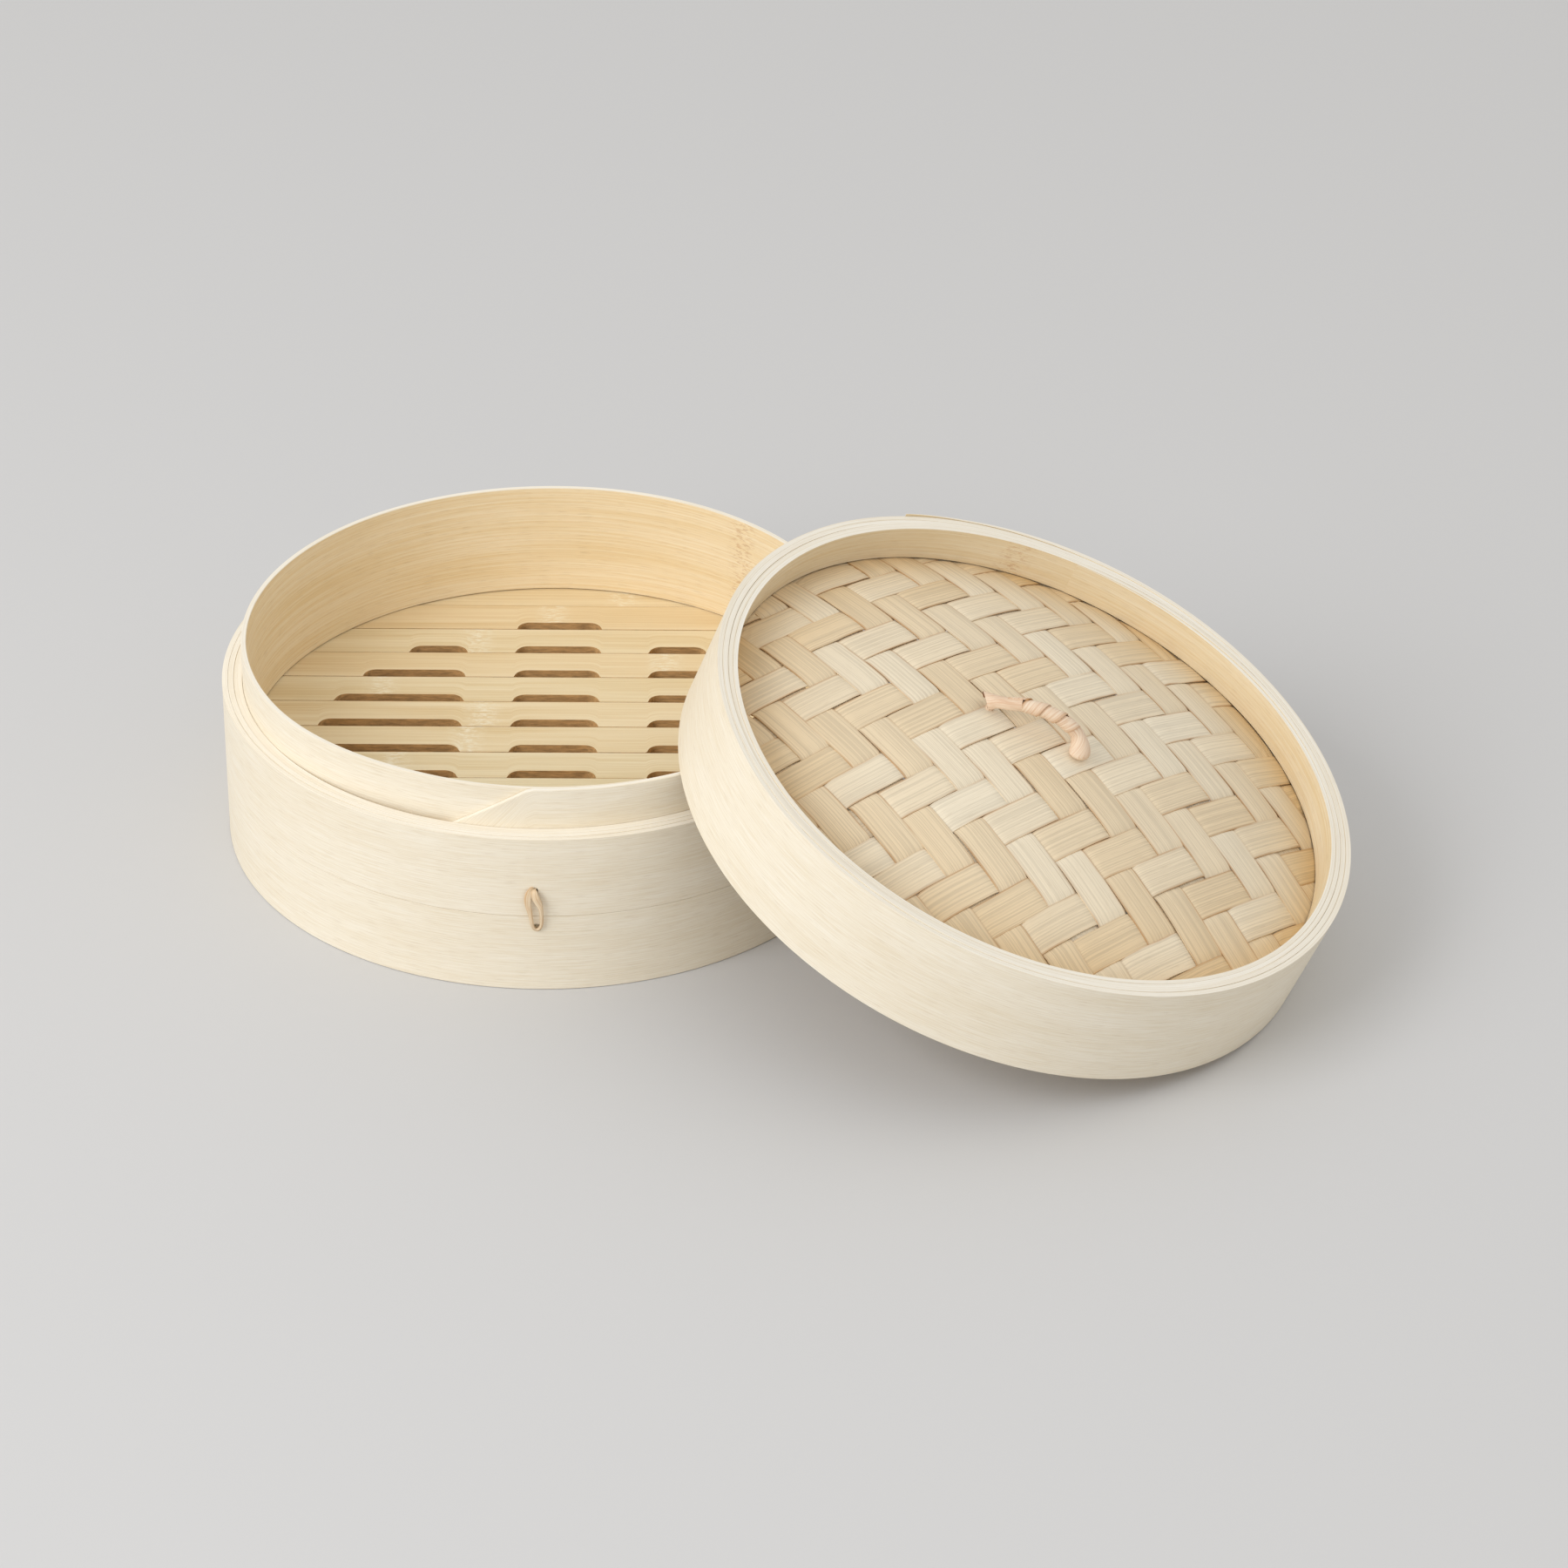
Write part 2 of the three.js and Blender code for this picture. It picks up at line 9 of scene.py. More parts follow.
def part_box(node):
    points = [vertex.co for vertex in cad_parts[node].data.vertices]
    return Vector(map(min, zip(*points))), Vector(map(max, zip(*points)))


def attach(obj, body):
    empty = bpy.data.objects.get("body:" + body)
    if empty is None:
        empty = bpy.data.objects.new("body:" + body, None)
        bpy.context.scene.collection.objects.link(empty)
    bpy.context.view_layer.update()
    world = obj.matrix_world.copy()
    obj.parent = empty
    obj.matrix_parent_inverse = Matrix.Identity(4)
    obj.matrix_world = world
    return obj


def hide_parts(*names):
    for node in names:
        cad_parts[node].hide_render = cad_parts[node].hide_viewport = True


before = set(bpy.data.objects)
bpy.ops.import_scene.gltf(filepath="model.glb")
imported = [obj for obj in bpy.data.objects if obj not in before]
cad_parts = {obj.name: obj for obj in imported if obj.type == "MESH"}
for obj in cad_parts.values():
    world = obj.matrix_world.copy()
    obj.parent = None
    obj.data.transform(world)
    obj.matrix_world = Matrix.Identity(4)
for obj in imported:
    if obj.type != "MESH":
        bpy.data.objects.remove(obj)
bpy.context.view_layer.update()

bl_info = {
    "name": "Bamboo steamer",
    "version": (1, 0, 0),
    "blender": (4, 5, 0),
    "location": "3D View > Sidebar > Steamer",
    "description": "Dresses a rolled-hoop bamboo steamer and its twill-woven lid",
    "category": "Object",
}

MM = 0.001
BAND_LOW, BAND_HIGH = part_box("base_lower_band")
BASKET_PLACE = Vector(((BAND_LOW.x + BAND_HIGH.x) / 2, (BAND_LOW.y + BAND_HIGH.y) / 2, 0))
GRAIN = "grain"  # UV map in metres: along the fibres, then across them
FIT = 0.3 * MM  # gap in the CAD model between two pieces that touch in the real object
BAMBOO_IOR = 1.46
# sRGB colours of marks in the bamboo, and of painted shade along strip edges
DASH_BROWN = 0x9C7442
# Brown painted shade along the edges of weaving strips and cane wraps, where they cross or lap
EDGE_SHADE_BROWN = 0xB07A3A
NODE_TAN = 0xB98248
NODE_PALE = 0xF6ECD2
GREEN_SLAT_LIGHT = 0xEFE4C4
GREEN_SLAT_DEEP = 0xDDCB9E
NODE_REACH = 7 * MM  # how far a node's mark spreads along the grain


def linear(hex_value):
    """Linear RGB of an sRGB hex value."""
    channels = [((hex_value >> shift) & 255) / 255 for shift in (16, 8, 0)]
    return tuple(c / 12.92 if c <= 0.04045 else ((c + 0.055) / 1.055) ** 2.4 for c in channels)


def length(name, millimetres, description):
    """A length that a user may change, given in millimetres."""
    return FloatProperty(
        name=name, description=description, default=millimetres * MM, unit="LENGTH", precision=5
    )


def paint(name, hex_value, description):
    """A colour that a user may change, given as an sRGB hex value."""
    return FloatVectorProperty(
        name=name,
        description=description,
        default=linear(hex_value),
        subtype="COLOR",
        size=3,
        min=0,
        max=1,
    )


class BasketSizes(bpy.types.PropertyGroup):
    """Sizes of the basket."""

    outer_radius: length("Outer radius", 105, "Outside of the bands and of the lid")
    shoulder: length("Shoulder", 54.8, "Top of the outer bands")
    rim: length("Rim", 68.4, "Top of the inner hoop")
    seam: length("Seam", 27, "Joint between the two outer bands")
    seam_gap: length("Seam gap", 0.12, "Open joint between the two outer bands")
    band_ply: length("Band ply", 1.8, "Thickness of the strip that the bands are rolled from")
    band_plies: IntProperty(name="Band plies", description="Turns of each outer band", default=3)
    hoop_radius: length("Inner hoop radius", 98.44, "Outside of the tall inner hoop")
    hoop_ply: length("Inner hoop ply", 1.75, "Thickness of the inner hoop's strip")
    ring_ply: length("Floor ring ply", 3.2, "Thickness of the ring that carries the slats")
    floor: length("Floor", 29, "Top of the slats")
    slat_thickness: length("Slat thickness", 4.7, "Thickness of the floor slats")
    slat_pitch: length("Slat pitch", 16, "Distance from one seam of the floor to the next")
    slat_count: IntProperty(name="Slats", description="Number of floor slats", default=12)
    first_seam: length("First seam", 85, "Rearmost seam, behind the centre")
    floor_turn: FloatProperty(
        name="Floor turn",
        description="Angle of the slats from X",
        default=math.radians(1.4),
        subtype="ANGLE",
    )
    crossbar_offset: length("Crossbar offset", 22.4, "Crossbars each side of the centre")


class LidSizes(bpy.types.PropertyGroup):
    """Sizes and place of the lid."""

    height: length("Height", 36.5, "Skirt bottom to rim top")
    ply: length("Ply", 1.5, "Thickness of the strips that the hoops are rolled from")
    panel_height: length("Panel height", 23.6, "Edge of the weave above the skirt's bottom")
    panel_radius: length("Panel radius", 99.06, "Edge of the woven panel")
    dome_radius: length("Dome radius", 97.46, "Where the dome meets its edge height")
    dome_rise: length("Dome rise", 15.5, "Middle of the weave above its edge")
    warps: IntProperty(name="Warps", description="Strips that run up the lid", default=17)
    wefts: IntProperty(name="Wefts", description="Strips that run across the lid", default=16)
    weave_turn: FloatProperty(
        name="Weave turn",
        description="From the lean direction to the weft",
        default=math.radians(-20),
        subtype="ANGLE",
    )
    contact_width: length("Contact width", 114.4, "Between the two places where the skirt sits")
    skirt_bore: length("Skirt bore", 101.379, "Inside of the skirt")
    lean_azimuth: FloatProperty(
        name="Lean azimuth",
        description="Side of the basket that the lid leans on",
        default=math.radians(-25.1),
        subtype="ANGLE",
    )
    handle_span: length("Handle half span", 15.5, "Half the distance between the handle's legs")
    handle_rise: length("Handle rise", 8.3, "Middle line of the arch above its feet")
    handle_skew: FloatProperty(
        name="Handle skew", description="How far the crown leans to the low foot", default=0.22
    )
    handle_radius: length("Handle radius", 1.4, "Radius of the cane core")


class Finishes(bpy.types.PropertyGroup):
    """Colours of the bamboo and of the stage."""

    band_light: paint("Band light", 0xF5EDDC, "Shaved outer bands, between the fibres")
    band_deep: paint("Band deep", 0xEADDC4, "Shaved outer bands, fibres")
    # Palest colours, partly painted light on the hoops' upward edges
    edge_light: paint("Edge light", 0xFCF8EE, "Cut edges of the plies, between the fibres")
    edge_deep: paint("Edge deep", 0xF1E7D4, "Cut edges of the plies, fibres")
    wall_light: paint("Wall light", 0xF7E9CD, "Inside of the hoops, between the fibres")
    wall_deep: paint("Wall deep", 0xEDD7AD, "Inside of the hoops, fibres")
    slat_light: paint("Slat light", 0xF2DFBA, "Planed slats, between the fibres")
    slat_deep: paint("Slat deep", 0xE1C595, "Planed slats, fibres")
    sawn: paint("Sawn", 0xDDB27A, "Sawn walls of the steam notches")
    strip_pale: paint("Strip pale", 0xF8EDD6, "Palest weaving strips")
    strip_tan: paint("Strip tan", 0xE6C693, "Most tanned weaving strips")
    cane_light: paint("Cane light", 0xF1DFC8, "Cane of the handle")
    cane_deep: paint("Cane deep", 0xD9B596, "Fibres of the handle's cane")
    tie_light: paint("Tie light", 0xF0DFC2, "Cane of the ties")
    tie_deep: paint("Tie deep", 0xCFA87A, "Fibres of the ties")
    # Also painted shade on the inner face of the handle's curled tail
    cane_cut_and_shade: paint("Cane cut", 0x8A5F42, "Cut ends of the cane")
    floor: paint("Floor", 0xD3D3D4, "Paper that the steamer stands on")


def link(tree, node, links):
    """Sets a node's inputs to values, outputs, or nodes, whose first output in use is taken."""
    for key, value in links.items():
        if isinstance(value, bpy.types.Node):
            value = next(output for output in value.outputs if output.enabled)
        if isinstance(value, bpy.types.NodeSocket):
            tree.links.new(value, node.inputs[key])
        else:
            node.inputs[key].default_value = value


def add(tree, kind, links=None, **settings):
    """Adds a node with its settings and links."""
    node = tree.nodes.new(kind)
    for key, value in settings.items():
        setattr(node, key, value)
    link(tree, node, links or {})
    return node


def rgba(colour):
    """A colour property as the four numbers of a node's socket."""
    return (*colour, 1.0)


def bare_material(name, specular=0.35):
    """New material of bare bamboo or cane, with its node tree and its shader."""
    material = bpy.data.materials.new(name)
    material.use_nodes = True
    tree = material.node_tree
    shader = tree.nodes["Principled BSDF"]
    link(tree, shader, {"IOR": BAMBOO_IOR, "Specular IOR Level": specular})
    return material, tree, shader


def fibres(tree, uv, long, wide, detail, roughness=0.5):
    """Pattern of fibres that are this long and this wide on the grain map.

    Single fibres are too fine to show, so these are as wide as a bundle of them.
    """
    stretched = add(tree, "ShaderNodeMapping", {"Vector": uv, "Scale": (1 / long, 1 / wide, 1)})
    return add(
        tree,
        "ShaderNodeTexNoise",
        {"Vector": stretched, "Scale": 1.0, "Detail": detail, "Roughness": roughness},
        noise_dimensions="2D",
    )


def culm_node(tree, uv, place, full_within, fleck, spots, strength):
    """Mottled mark where the culm had a node, at a place along the grain.

    It is full within a distance of the place. spots is the range of the fleck pattern from bare to
    marked.
    """
    along = add(tree, "ShaderNodeSeparateXYZ", {"Vector": uv}).outputs["X"]
    distance = add(tree, "ShaderNodeMath", {0: along, 1: place}, operation="SUBTRACT")
    distance = add(tree, "ShaderNodeMath", {0: distance}, operation="ABSOLUTE")
    nearness = add(
        tree, "ShaderNodeMapRange", {"Value": distance, "From Min": NODE_REACH, "From Max": full_within}
    )
    shown = add(
        tree,
        "ShaderNodeMapRange",
        {"Value": fleck, "From Min": spots[0], "From Max": spots[1], "To Max": strength},
    )
    return add(tree, "ShaderNodeMath", {0: nearness, 1: shown}, operation="MULTIPLY")


def finish_shader(tree, shader, colour, streak, roughness, height, bump, depth):
    """Gives the shader its colour, a gloss that follows the streaks and the relief of a height."""
    gloss = add(
        tree,
        "ShaderNodeMapRange",
        {
            "Value": streak,
            "From Min": 0.3,
            "From Max": 0.7,
            "To Min": roughness - 0.06,
            "To Max": roughness + 0.1,
        },
    )
    relief = add(tree, "ShaderNodeBump", {"Height": height, "Strength": bump, "Distance": depth})
    link(tree, shader, {"Base Color": colour, "Roughness": gloss, "Normal": relief})


def bamboo_finish(
    name, light, deep, fibre, contrast, dashes, roughness, tinted=None, nodes=(), lines=0.0, edges=0.0
):
    """Split bamboo whose fibres follow the grain map: streaks, short dashes and broad clouds.

    fibre is the (length, width) of a streak in metres. contrast and dashes are the strengths of the
    streaks and of the dashes. tinted is a second pair of colours that the strip's own tint leads to.
    nodes are places along the grain where the culm had a node. lines is the strength of hair lines
    along the grain, and edges that of the brown along the strip edges: painted shade where strips
    cross or lap, on cane partly its own darker edges. A finish that is there is used again.
    """
    if name in bpy.data.materials:
        return bpy.data.materials[name]
    material, tree, shader = bare_material(name)
    uv = add(tree, "ShaderNodeUVMap", uv_map=GRAIN)
    streak = fibres(tree, uv, *fibre, 3.0, 0.62)
    dash = fibres(tree, uv, 7 * MM, 0.33 * MM, 1.0)
    cloud = fibres(tree, uv, 90 * MM, 9 * MM, 2.0)
    streak_share = add(
        tree,
        "ShaderNodeMapRange",
        {"Value": streak, "From Min": 0.35, "From Max": 0.68, "To Max": contrast},
    )
    cloud_share = add(
        tree,
        "ShaderNodeMapRange",
        {"Value": cloud, "From Min": 0.35, "From Max": 0.7, "To Max": 0.45 * contrast},
    )
    share = add(tree, "ShaderNodeMath", {0: streak_share, 1: cloud_share}, use_clamp=True)
    if lines:
        line = fibres(tree, uv, 150 * MM, 0.55 * MM, 1.0)
        line_share = add(
            tree,
            "ShaderNodeMapRange",
            {"Value": line, "From Min": 0.46, "From Max": 0.62, "To Min": -0.3 * lines, "To Max": lines},
        )
        share = add(tree, "ShaderNodeMath", {0: share, 1: line_share}, use_clamp=True)
    colour = add(tree, "ShaderNodeMix", {0: share, 6: rgba(light), 7: rgba(deep)}, data_type="RGBA")
    if tinted:
        tanned = add(
            tree, "ShaderNodeMix", {0: share, 6: rgba(tinted[0]), 7: rgba(tinted[1])}, data_type="RGBA"
        )
        tint = add(tree, "ShaderNodeAttribute", attribute_name="tint").outputs["Fac"]
        colour = add(tree, "ShaderNodeMix", {0: tint, 6: colour, 7: tanned}, data_type="RGBA")
    dash_share = add(
        tree, "ShaderNodeMapRange", {"Value": dash, "From Min": 0.62, "From Max": 0.74, "To Max": dashes}
    )
    brown = rgba(linear(DASH_BROWN))
    dark = add(tree, "ShaderNodeMix", {0: 0.55, 6: rgba(deep), 7: brown}, data_type="RGBA")
    colour = add(tree, "ShaderNodeMix", {0: dash_share, 6: colour, 7: dark}, data_type="RGBA")
    # Brown along the strips' edges is painted shade where they cross or lap; a noise makes some edges faint
    # and others dark
    if edges:
        rim = add(tree, "ShaderNodeAttribute", attribute_name="edge").outputs["Fac"]
        edge_shade_noise = fibres(tree, uv, 22 * MM, 7 * MM, 1.0)
        edge_shade_strength = add(
            tree,
            "ShaderNodeMapRange",
            {"Value": edge_shade_noise, "From Min": 0.38, "From Max": 0.6, "To Min": 0.2 * edges, "To Max": edges},
        )
        edge_shade_share = add(tree, "ShaderNodeMath", {0: rim, 1: edge_shade_strength}, operation="MULTIPLY", use_clamp=True)
        brown = rgba(linear(EDGE_SHADE_BROWN))
        colour = add(tree, "ShaderNodeMix", {0: edge_shade_share, 6: colour, 7: brown}, data_type="RGBA")
    for place in nodes:
        fleck = fibres(tree, uv, 3 * MM, 0.8 * MM, 3.0, 0.7)
        mark = culm_node(tree, uv, place, 2 * MM, fleck, (0.5, 0.64), 0.4)
        tan = rgba(linear(NODE_TAN))
        colour = add(tree, "ShaderNodeMix", {0: mark, 6: colour, 7: tan}, data_type="RGBA")
    height = add(tree, "ShaderNodeMath", {0: streak, 1: dash_share}, operation="SUBTRACT")
    finish_shader(tree, shader, colour, streak, roughness, height, 0.35, 0.12 * MM)
    return material


def slat_finish(name, light, deep):
    """Planed bamboo slat: long streaks along the grain map, its own tint and a pale node mark."""
    material, tree, shader = bare_material(name)
    uv = add(tree, "ShaderNodeUVMap", uv_map=GRAIN)
    streak = fibres(tree, uv, 60 * MM, 0.7 * MM, 3.0, 0.6)
    broad = fibres(tree, uv, 140 * MM, 5 * MM, 2.0)
    streak_share = add(
        tree, "ShaderNodeMapRange", {"Value": streak, "From Min": 0.36, "From Max": 0.68, "To Max": 0.5}
    )
    broad_share = add(
        tree, "ShaderNodeMapRange", {"Value": broad, "From Min": 0.36, "From Max": 0.66, "To Max": 0.45}
    )
    share = add(tree, "ShaderNodeMath", {0: streak_share, 1: broad_share}, use_clamp=True)
    colour = add(tree, "ShaderNodeMix", {0: share, 6: rgba(light), 7: rgba(deep)}, data_type="RGBA")
    greener = add(
        tree,
        "ShaderNodeMix",
        {0: share, 6: rgba(linear(GREEN_SLAT_LIGHT)), 7: rgba(linear(GREEN_SLAT_DEEP))},
        data_type="RGBA",
    )
    tint = add(tree, "ShaderNodeAttribute", attribute_name="tint").outputs["Fac"]
    colour = add(tree, "ShaderNodeMix", {0: tint, 6: colour, 7: greener}, data_type="RGBA")
    node_at = add(tree, "ShaderNodeAttribute", attribute_name="node_at").outputs["Fac"]
    fleck = fibres(tree, uv, 3.5 * MM, 1.2 * MM, 4.0, 0.7)
    mark = culm_node(tree, uv, node_at, 1 * MM, fleck, (0.46, 0.6), 0.85)
    pale = rgba(linear(NODE_PALE))
    colour = add(tree, "ShaderNodeMix", {0: mark, 6: colour, 7: pale}, data_type="RGBA")
    finish_shader(tree, shader, colour, streak, 0.52, streak, 0.3, 0.15 * MM)
    return material


def sawn_finish(name, base):
    """Sawn bamboo or cane: brown, rough and streaked by the cut vessels.

    Real vessels are too fine to show, so these are drawn 0.8 mm wide.
    """
    material, tree, shader = bare_material(name, specular=0.2)
    place = add(tree, "ShaderNodeTexCoord").outputs["Object"]
    stretched = add(
        tree,
        "ShaderNodeMapping",
        {"Vector": place, "Scale": (1 / (5 * MM), 1 / (0.8 * MM), 1 / (0.8 * MM))},
    )
    vessel = add(
        tree, "ShaderNodeTexNoise", {"Vector": stretched, "Scale": 1.0, "Detail": 4.0, "Roughness": 0.7}
    )
    share = add(tree, "ShaderNodeMapRange", {"Value": vessel, "From Min": 0.36, "From Max": 0.66})
    darker = tuple(0.58 * c for c in base)
    colour = add(tree, "ShaderNodeMix", {0: share, 6: rgba(base), 7: rgba(darker)}, data_type="RGBA")
    relief = add(tree, "ShaderNodeBump", {"Height": vessel, "Strength": 0.6, "Distance": 0.3 * MM})
    link(tree, shader, {"Base Color": colour, "Roughness": 0.8, "Normal": relief})
    return material


def finish_piece(name, mesh, materials, body, nodes):
    """Makes the piece's object, gives it its materials and puts it on its body."""
    piece = bpy.data.objects.new(name, mesh)
    bpy.context.scene.collection.objects.link(piece)
    for material in materials:
        mesh.materials.append(material)
    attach(piece, body)
    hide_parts(*nodes)


def signed_volume(points, faces):
    """Volume inside a closed surface, negative if its faces point inwards."""
    total = 0.0
    for face in faces:
        first = points[face[0]]
        for second, third in zip(face[1:-1], face[2:]):
            total += np.dot(first, np.cross(points[second], points[third]))
    return total / 6


def shaded(mesh, sharp):
    """Smooth shading with edges kept sharp above an angle in degrees."""
    mesh.shade_smooth()
    mesh.set_sharp_from_angle(angle=math.radians(sharp))
    mesh.update()
    return mesh


def loft(name, rings, along, sharp=20, dressed=None, caps=0):
    """Closed mesh through a row of rings, with the grain map along the row.

    dressed gives the material number of some sides of the rings, and caps that of the two ends.
    """
    dressed = dressed or {}
    rings = np.asarray(rings, float)
    count, sides, _ = rings.shape
    steps = np.linalg.norm(np.diff(np.concatenate([rings, rings[:, :1]], axis=1), axis=1), axis=2)
    around = np.concatenate([np.zeros((count, 1)), np.cumsum(steps, axis=1)], axis=1)
    points = rings.reshape(-1, 3)
    faces, grain, shades = [], [], []
    for ring in range(count - 1):
        after = ring + 1
        for side in range(sides):
            near = (side + 1) % sides
            faces.append(
                [ring * sides + side, ring * sides + near, after * sides + near, after * sides + side]
            )
            grain.append(
                [
                    (along[ring], around[ring, side]),
                    (along[ring], around[ring, side + 1]),
                    (along[after], around[after, side + 1]),
                    (along[after], around[after, side]),
                ]
            )
            shades.append(dressed.get(side, 0))
    for ring, order in ((0, range(sides - 1, -1, -1)), (count - 1, range(sides))):
        faces.append([ring * sides + side for side in order])
        grain.append([(0.01 * side, 0.0) for side in order])
        shades.append(caps)
    if signed_volume(points, faces) < 0:
        faces = [face[::-1] for face in faces]
        grain = [corners[::-1] for corners in grain]
    mesh = bpy.data.meshes.new(name)
    mesh.from_pydata(points.tolist(), [], faces)
    layer = mesh.uv_layers.new(name=GRAIN)
    layer.data.foreach_set("uv", np.array([uv for corners in grain for uv in corners]).ravel())
    mesh.polygons.foreach_set("material_index", shades)
    return shaded(mesh, sharp)


def strip_section(azimuth, inside, outside, low, high, edge):
    """Section of a strip rolled round Z, with rounded edges, from its inner low corner."""
    edge = min(edge, 0.45 * (outside - inside))
    corners = (
        (inside + edge, low + edge, 270),
        (inside + edge, high - edge, 180),
        (outside - edge, high - edge, 90),
        (outside - edge, low + edge, 0),
    )
    ring = []
    for radius, height, first in corners:
        for turned in (0, 45, 90):
            angle = math.radians(first - turned)
            r = radius + edge * math.cos(angle)
            ring.append((r * math.cos(azimuth), r * math.sin(azimuth), height + edge * math.sin(angle)))
    return ring


def smooth(value):
    """Smooth step from 0 to 1."""
    value = min(max(value, 0.0), 1.0)
    return value * value * (3 - 2 * value)


def wave(turned, seed):
    """Slow unevenness of a hand-split strip, within about -1 and 1."""
    a = math.radians(turned)
    return (
        0.5 * math.sin(0.71 * a + seed)
        + 0.3 * math.sin(1.93 * a + 2.1 * seed)
        + 0.2 * math.sin(4.7 * a + 3.7 * seed)
    )


SECTION_STEP = 1.5  # degrees
LAP = 36.0  # degrees over which a rolled strip's end is pared thin
LEAD = 14.4  # degrees before the lap where the strip starts to step in
FILL = 12.0  # degrees over which the last turn gets thicker
SETTLE = 14.0  # degrees over which a raised end comes down
TURN_GAP = 0.045 * MM  # between the turns of a rolled strip
LAP_GAP = 0.03 * MM  # between the lapped ends of the inner hoop
FEATHER = 0.12 * MM  # thickness of a pared end
PLY_EDGE = 0.09 * MM  # rounding of a ply's edges
# Inner face and bottom edge of strip_section take material 1, its top edge material 2.
# The bottom edge's darker honey is painted shade under each ply; the top edge's palest colour
# is partly painted light on the upward faces.
HOOP_SIDES = {2: 1, 5: 2, 11: 1}


def rolled_hoop(name, outside, ply, plies, low, high, start, seed, uneven, lift=0.0, way=1, bore=None):
    """Hoop rolled one way from a strip with pared ends, from a start in degrees.

    uneven is how far its top edge wanders. lift raises the strip's outer end. bore is a radius that
    the last turn is thickened to.
    """
    total = 360 * plies + LAP
    rings, along = [], []
    for turned in np.linspace(0, total, round(total / SECTION_STEP) + 1):
        steps_in = sum(
            smooth((turned - 360 * turn + LEAD) / (LEAD + LAP)) for turn in range(1, plies + 1)
        )
        from_end = min(turned, total - turned)
        thickness = FEATHER + (ply - FEATHER) * min(from_end / LAP, 1.0)
        surface = outside - steps_in * (ply + TURN_GAP)
        if bore:
            full = smooth((turned - 360 * (plies - 1) - LAP) / FILL) * smooth((total - turned) / LAP)
            thickness += (surface - thickness - bore) * full
        top = high + uneven * wave(turned, seed) + lift * smooth(1 - turned / SETTLE)
        azimuth = math.radians(start + way * turned)
        rings.append(strip_section(azimuth, surface - thickness, surface, low, top, PLY_EDGE))
        along.append(math.radians(turned) * outside)
    return loft(name, rings, along, dressed=HOOP_SIDES)


def applied(work):
    """Plain mesh of a work object with its modifiers applied. The object is removed."""
    bpy.context.scene.collection.objects.link(work)
    graph = bpy.context.evaluated_depsgraph_get()
    mesh = bpy.data.meshes.new_from_object(work.evaluated_get(graph))
    work.modifiers.clear()
    bpy.data.objects.remove(work)
    return mesh


TIE_AZIMUTH = math.radians(-89.4)
# Holes of a tie: aside of its azimuth, height and radius
TIE_LOW_HOLE = (0.6 * MM, 22.9 * MM, 1.4 * MM)
TIE_HIGH_HOLE = (-0.1 * MM, 36.4 * MM, 1.2 * MM)
TIE_HOLE_DEPTH = 2.6 * MM


def tie_azimuths():
    """The tie at the front and the one opposite."""
    return TIE_AZIMUTH, TIE_AZIMUTH + math.pi


def drill(mesh, hole, wall):
    """Cuts the hole of each tie into a hoop's wall, whose outside radius is given."""
    aside, height, radius = hole
    clear = 8 * MM  # how far the cutter stands out of the wall
    reach = (wall - TIE_HOLE_DEPTH, wall + clear)
    angles = np.linspace(0, 2 * math.pi, 24, endpoint=False)
    work = bpy.data.objects.new("drilled", mesh)
    cutters = []
    for azimuth in tie_azimuths():
        facing = azimuth + aside / wall
        outward = Vector((math.cos(facing), math.sin(facing), 0))
        side = Vector((-outward.y, outward.x, 0))
        rings = [
            [
                outward * depth
                + side * (radius * math.cos(a))
                + Vector((0, 0, height + radius * math.sin(a)))
                for a in angles
            ]
            for depth in reach
        ]
        cutter = bpy.data.objects.new("cutter", loft("cutter", rings, [0, reach[1] - reach[0]]))
        bpy.context.scene.collection.objects.link(cutter)
        cut = work.modifiers.new("hole", "BOOLEAN")
        cut.object = cutter
        cut.operation = "DIFFERENCE"
        cut.solver = "EXACT"
        cutters.append(cutter)
    drilled = applied(work)
    for cutter in cutters:
        bpy.data.objects.remove(cutter)
    return drilled


def moved(mesh, matrix):
    """The mesh, put in its place in the row frame."""
    mesh.transform(matrix)
    mesh.update()
    return mesh


def lid_frame(sizes, basket):
    """From the lid's own frame, skirt bottom at z = 0, to the row frame."""
    half = sizes.contact_width / 2
    reach = math.sqrt(sizes.skirt_bore**2 - half**2)
    lean = math.asin((basket.rim + FIT) / (basket.outer_radius + reach))
    away = math.sqrt(basket.hoop_radius**2 - half**2) + reach * math.cos(lean)
    return (
        Matrix.Translation(BASKET_PLACE)
        @ Matrix.Rotation(sizes.lean_azimuth, 4, "Z")
        @ Matrix.Translation((away, 0, basket.outer_radius * math.sin(lean)))
        @ Matrix.Rotation(lean, 4, "Y")
    )


def from_nodes(name, tree, values):
    """Plain mesh of what a geometry node tree makes from these named inputs."""
    work = bpy.data.objects.new(name, bpy.data.meshes.new(name))
    modifier = work.modifiers.new("nodes", "NODES")
    modifier.node_group = tree
    for item in tree.interface.items_tree:
        if item.in_out == "INPUT" and item.name in values:
            modifier[item.identifier] = values[item.name]
    mesh = applied(work)
    if not mesh.polygons:
        raise RuntimeError(f"{name}: its node tree made nothing")
    for spare in ("local", "strip", "sway"):
        if spare in mesh.attributes:
            mesh.attributes.remove(mesh.attributes[spare])
    for number in reversed(range(len(mesh.materials))):
        if mesh.materials[number] is None:
            mesh.materials.pop(index=number)
    return mesh


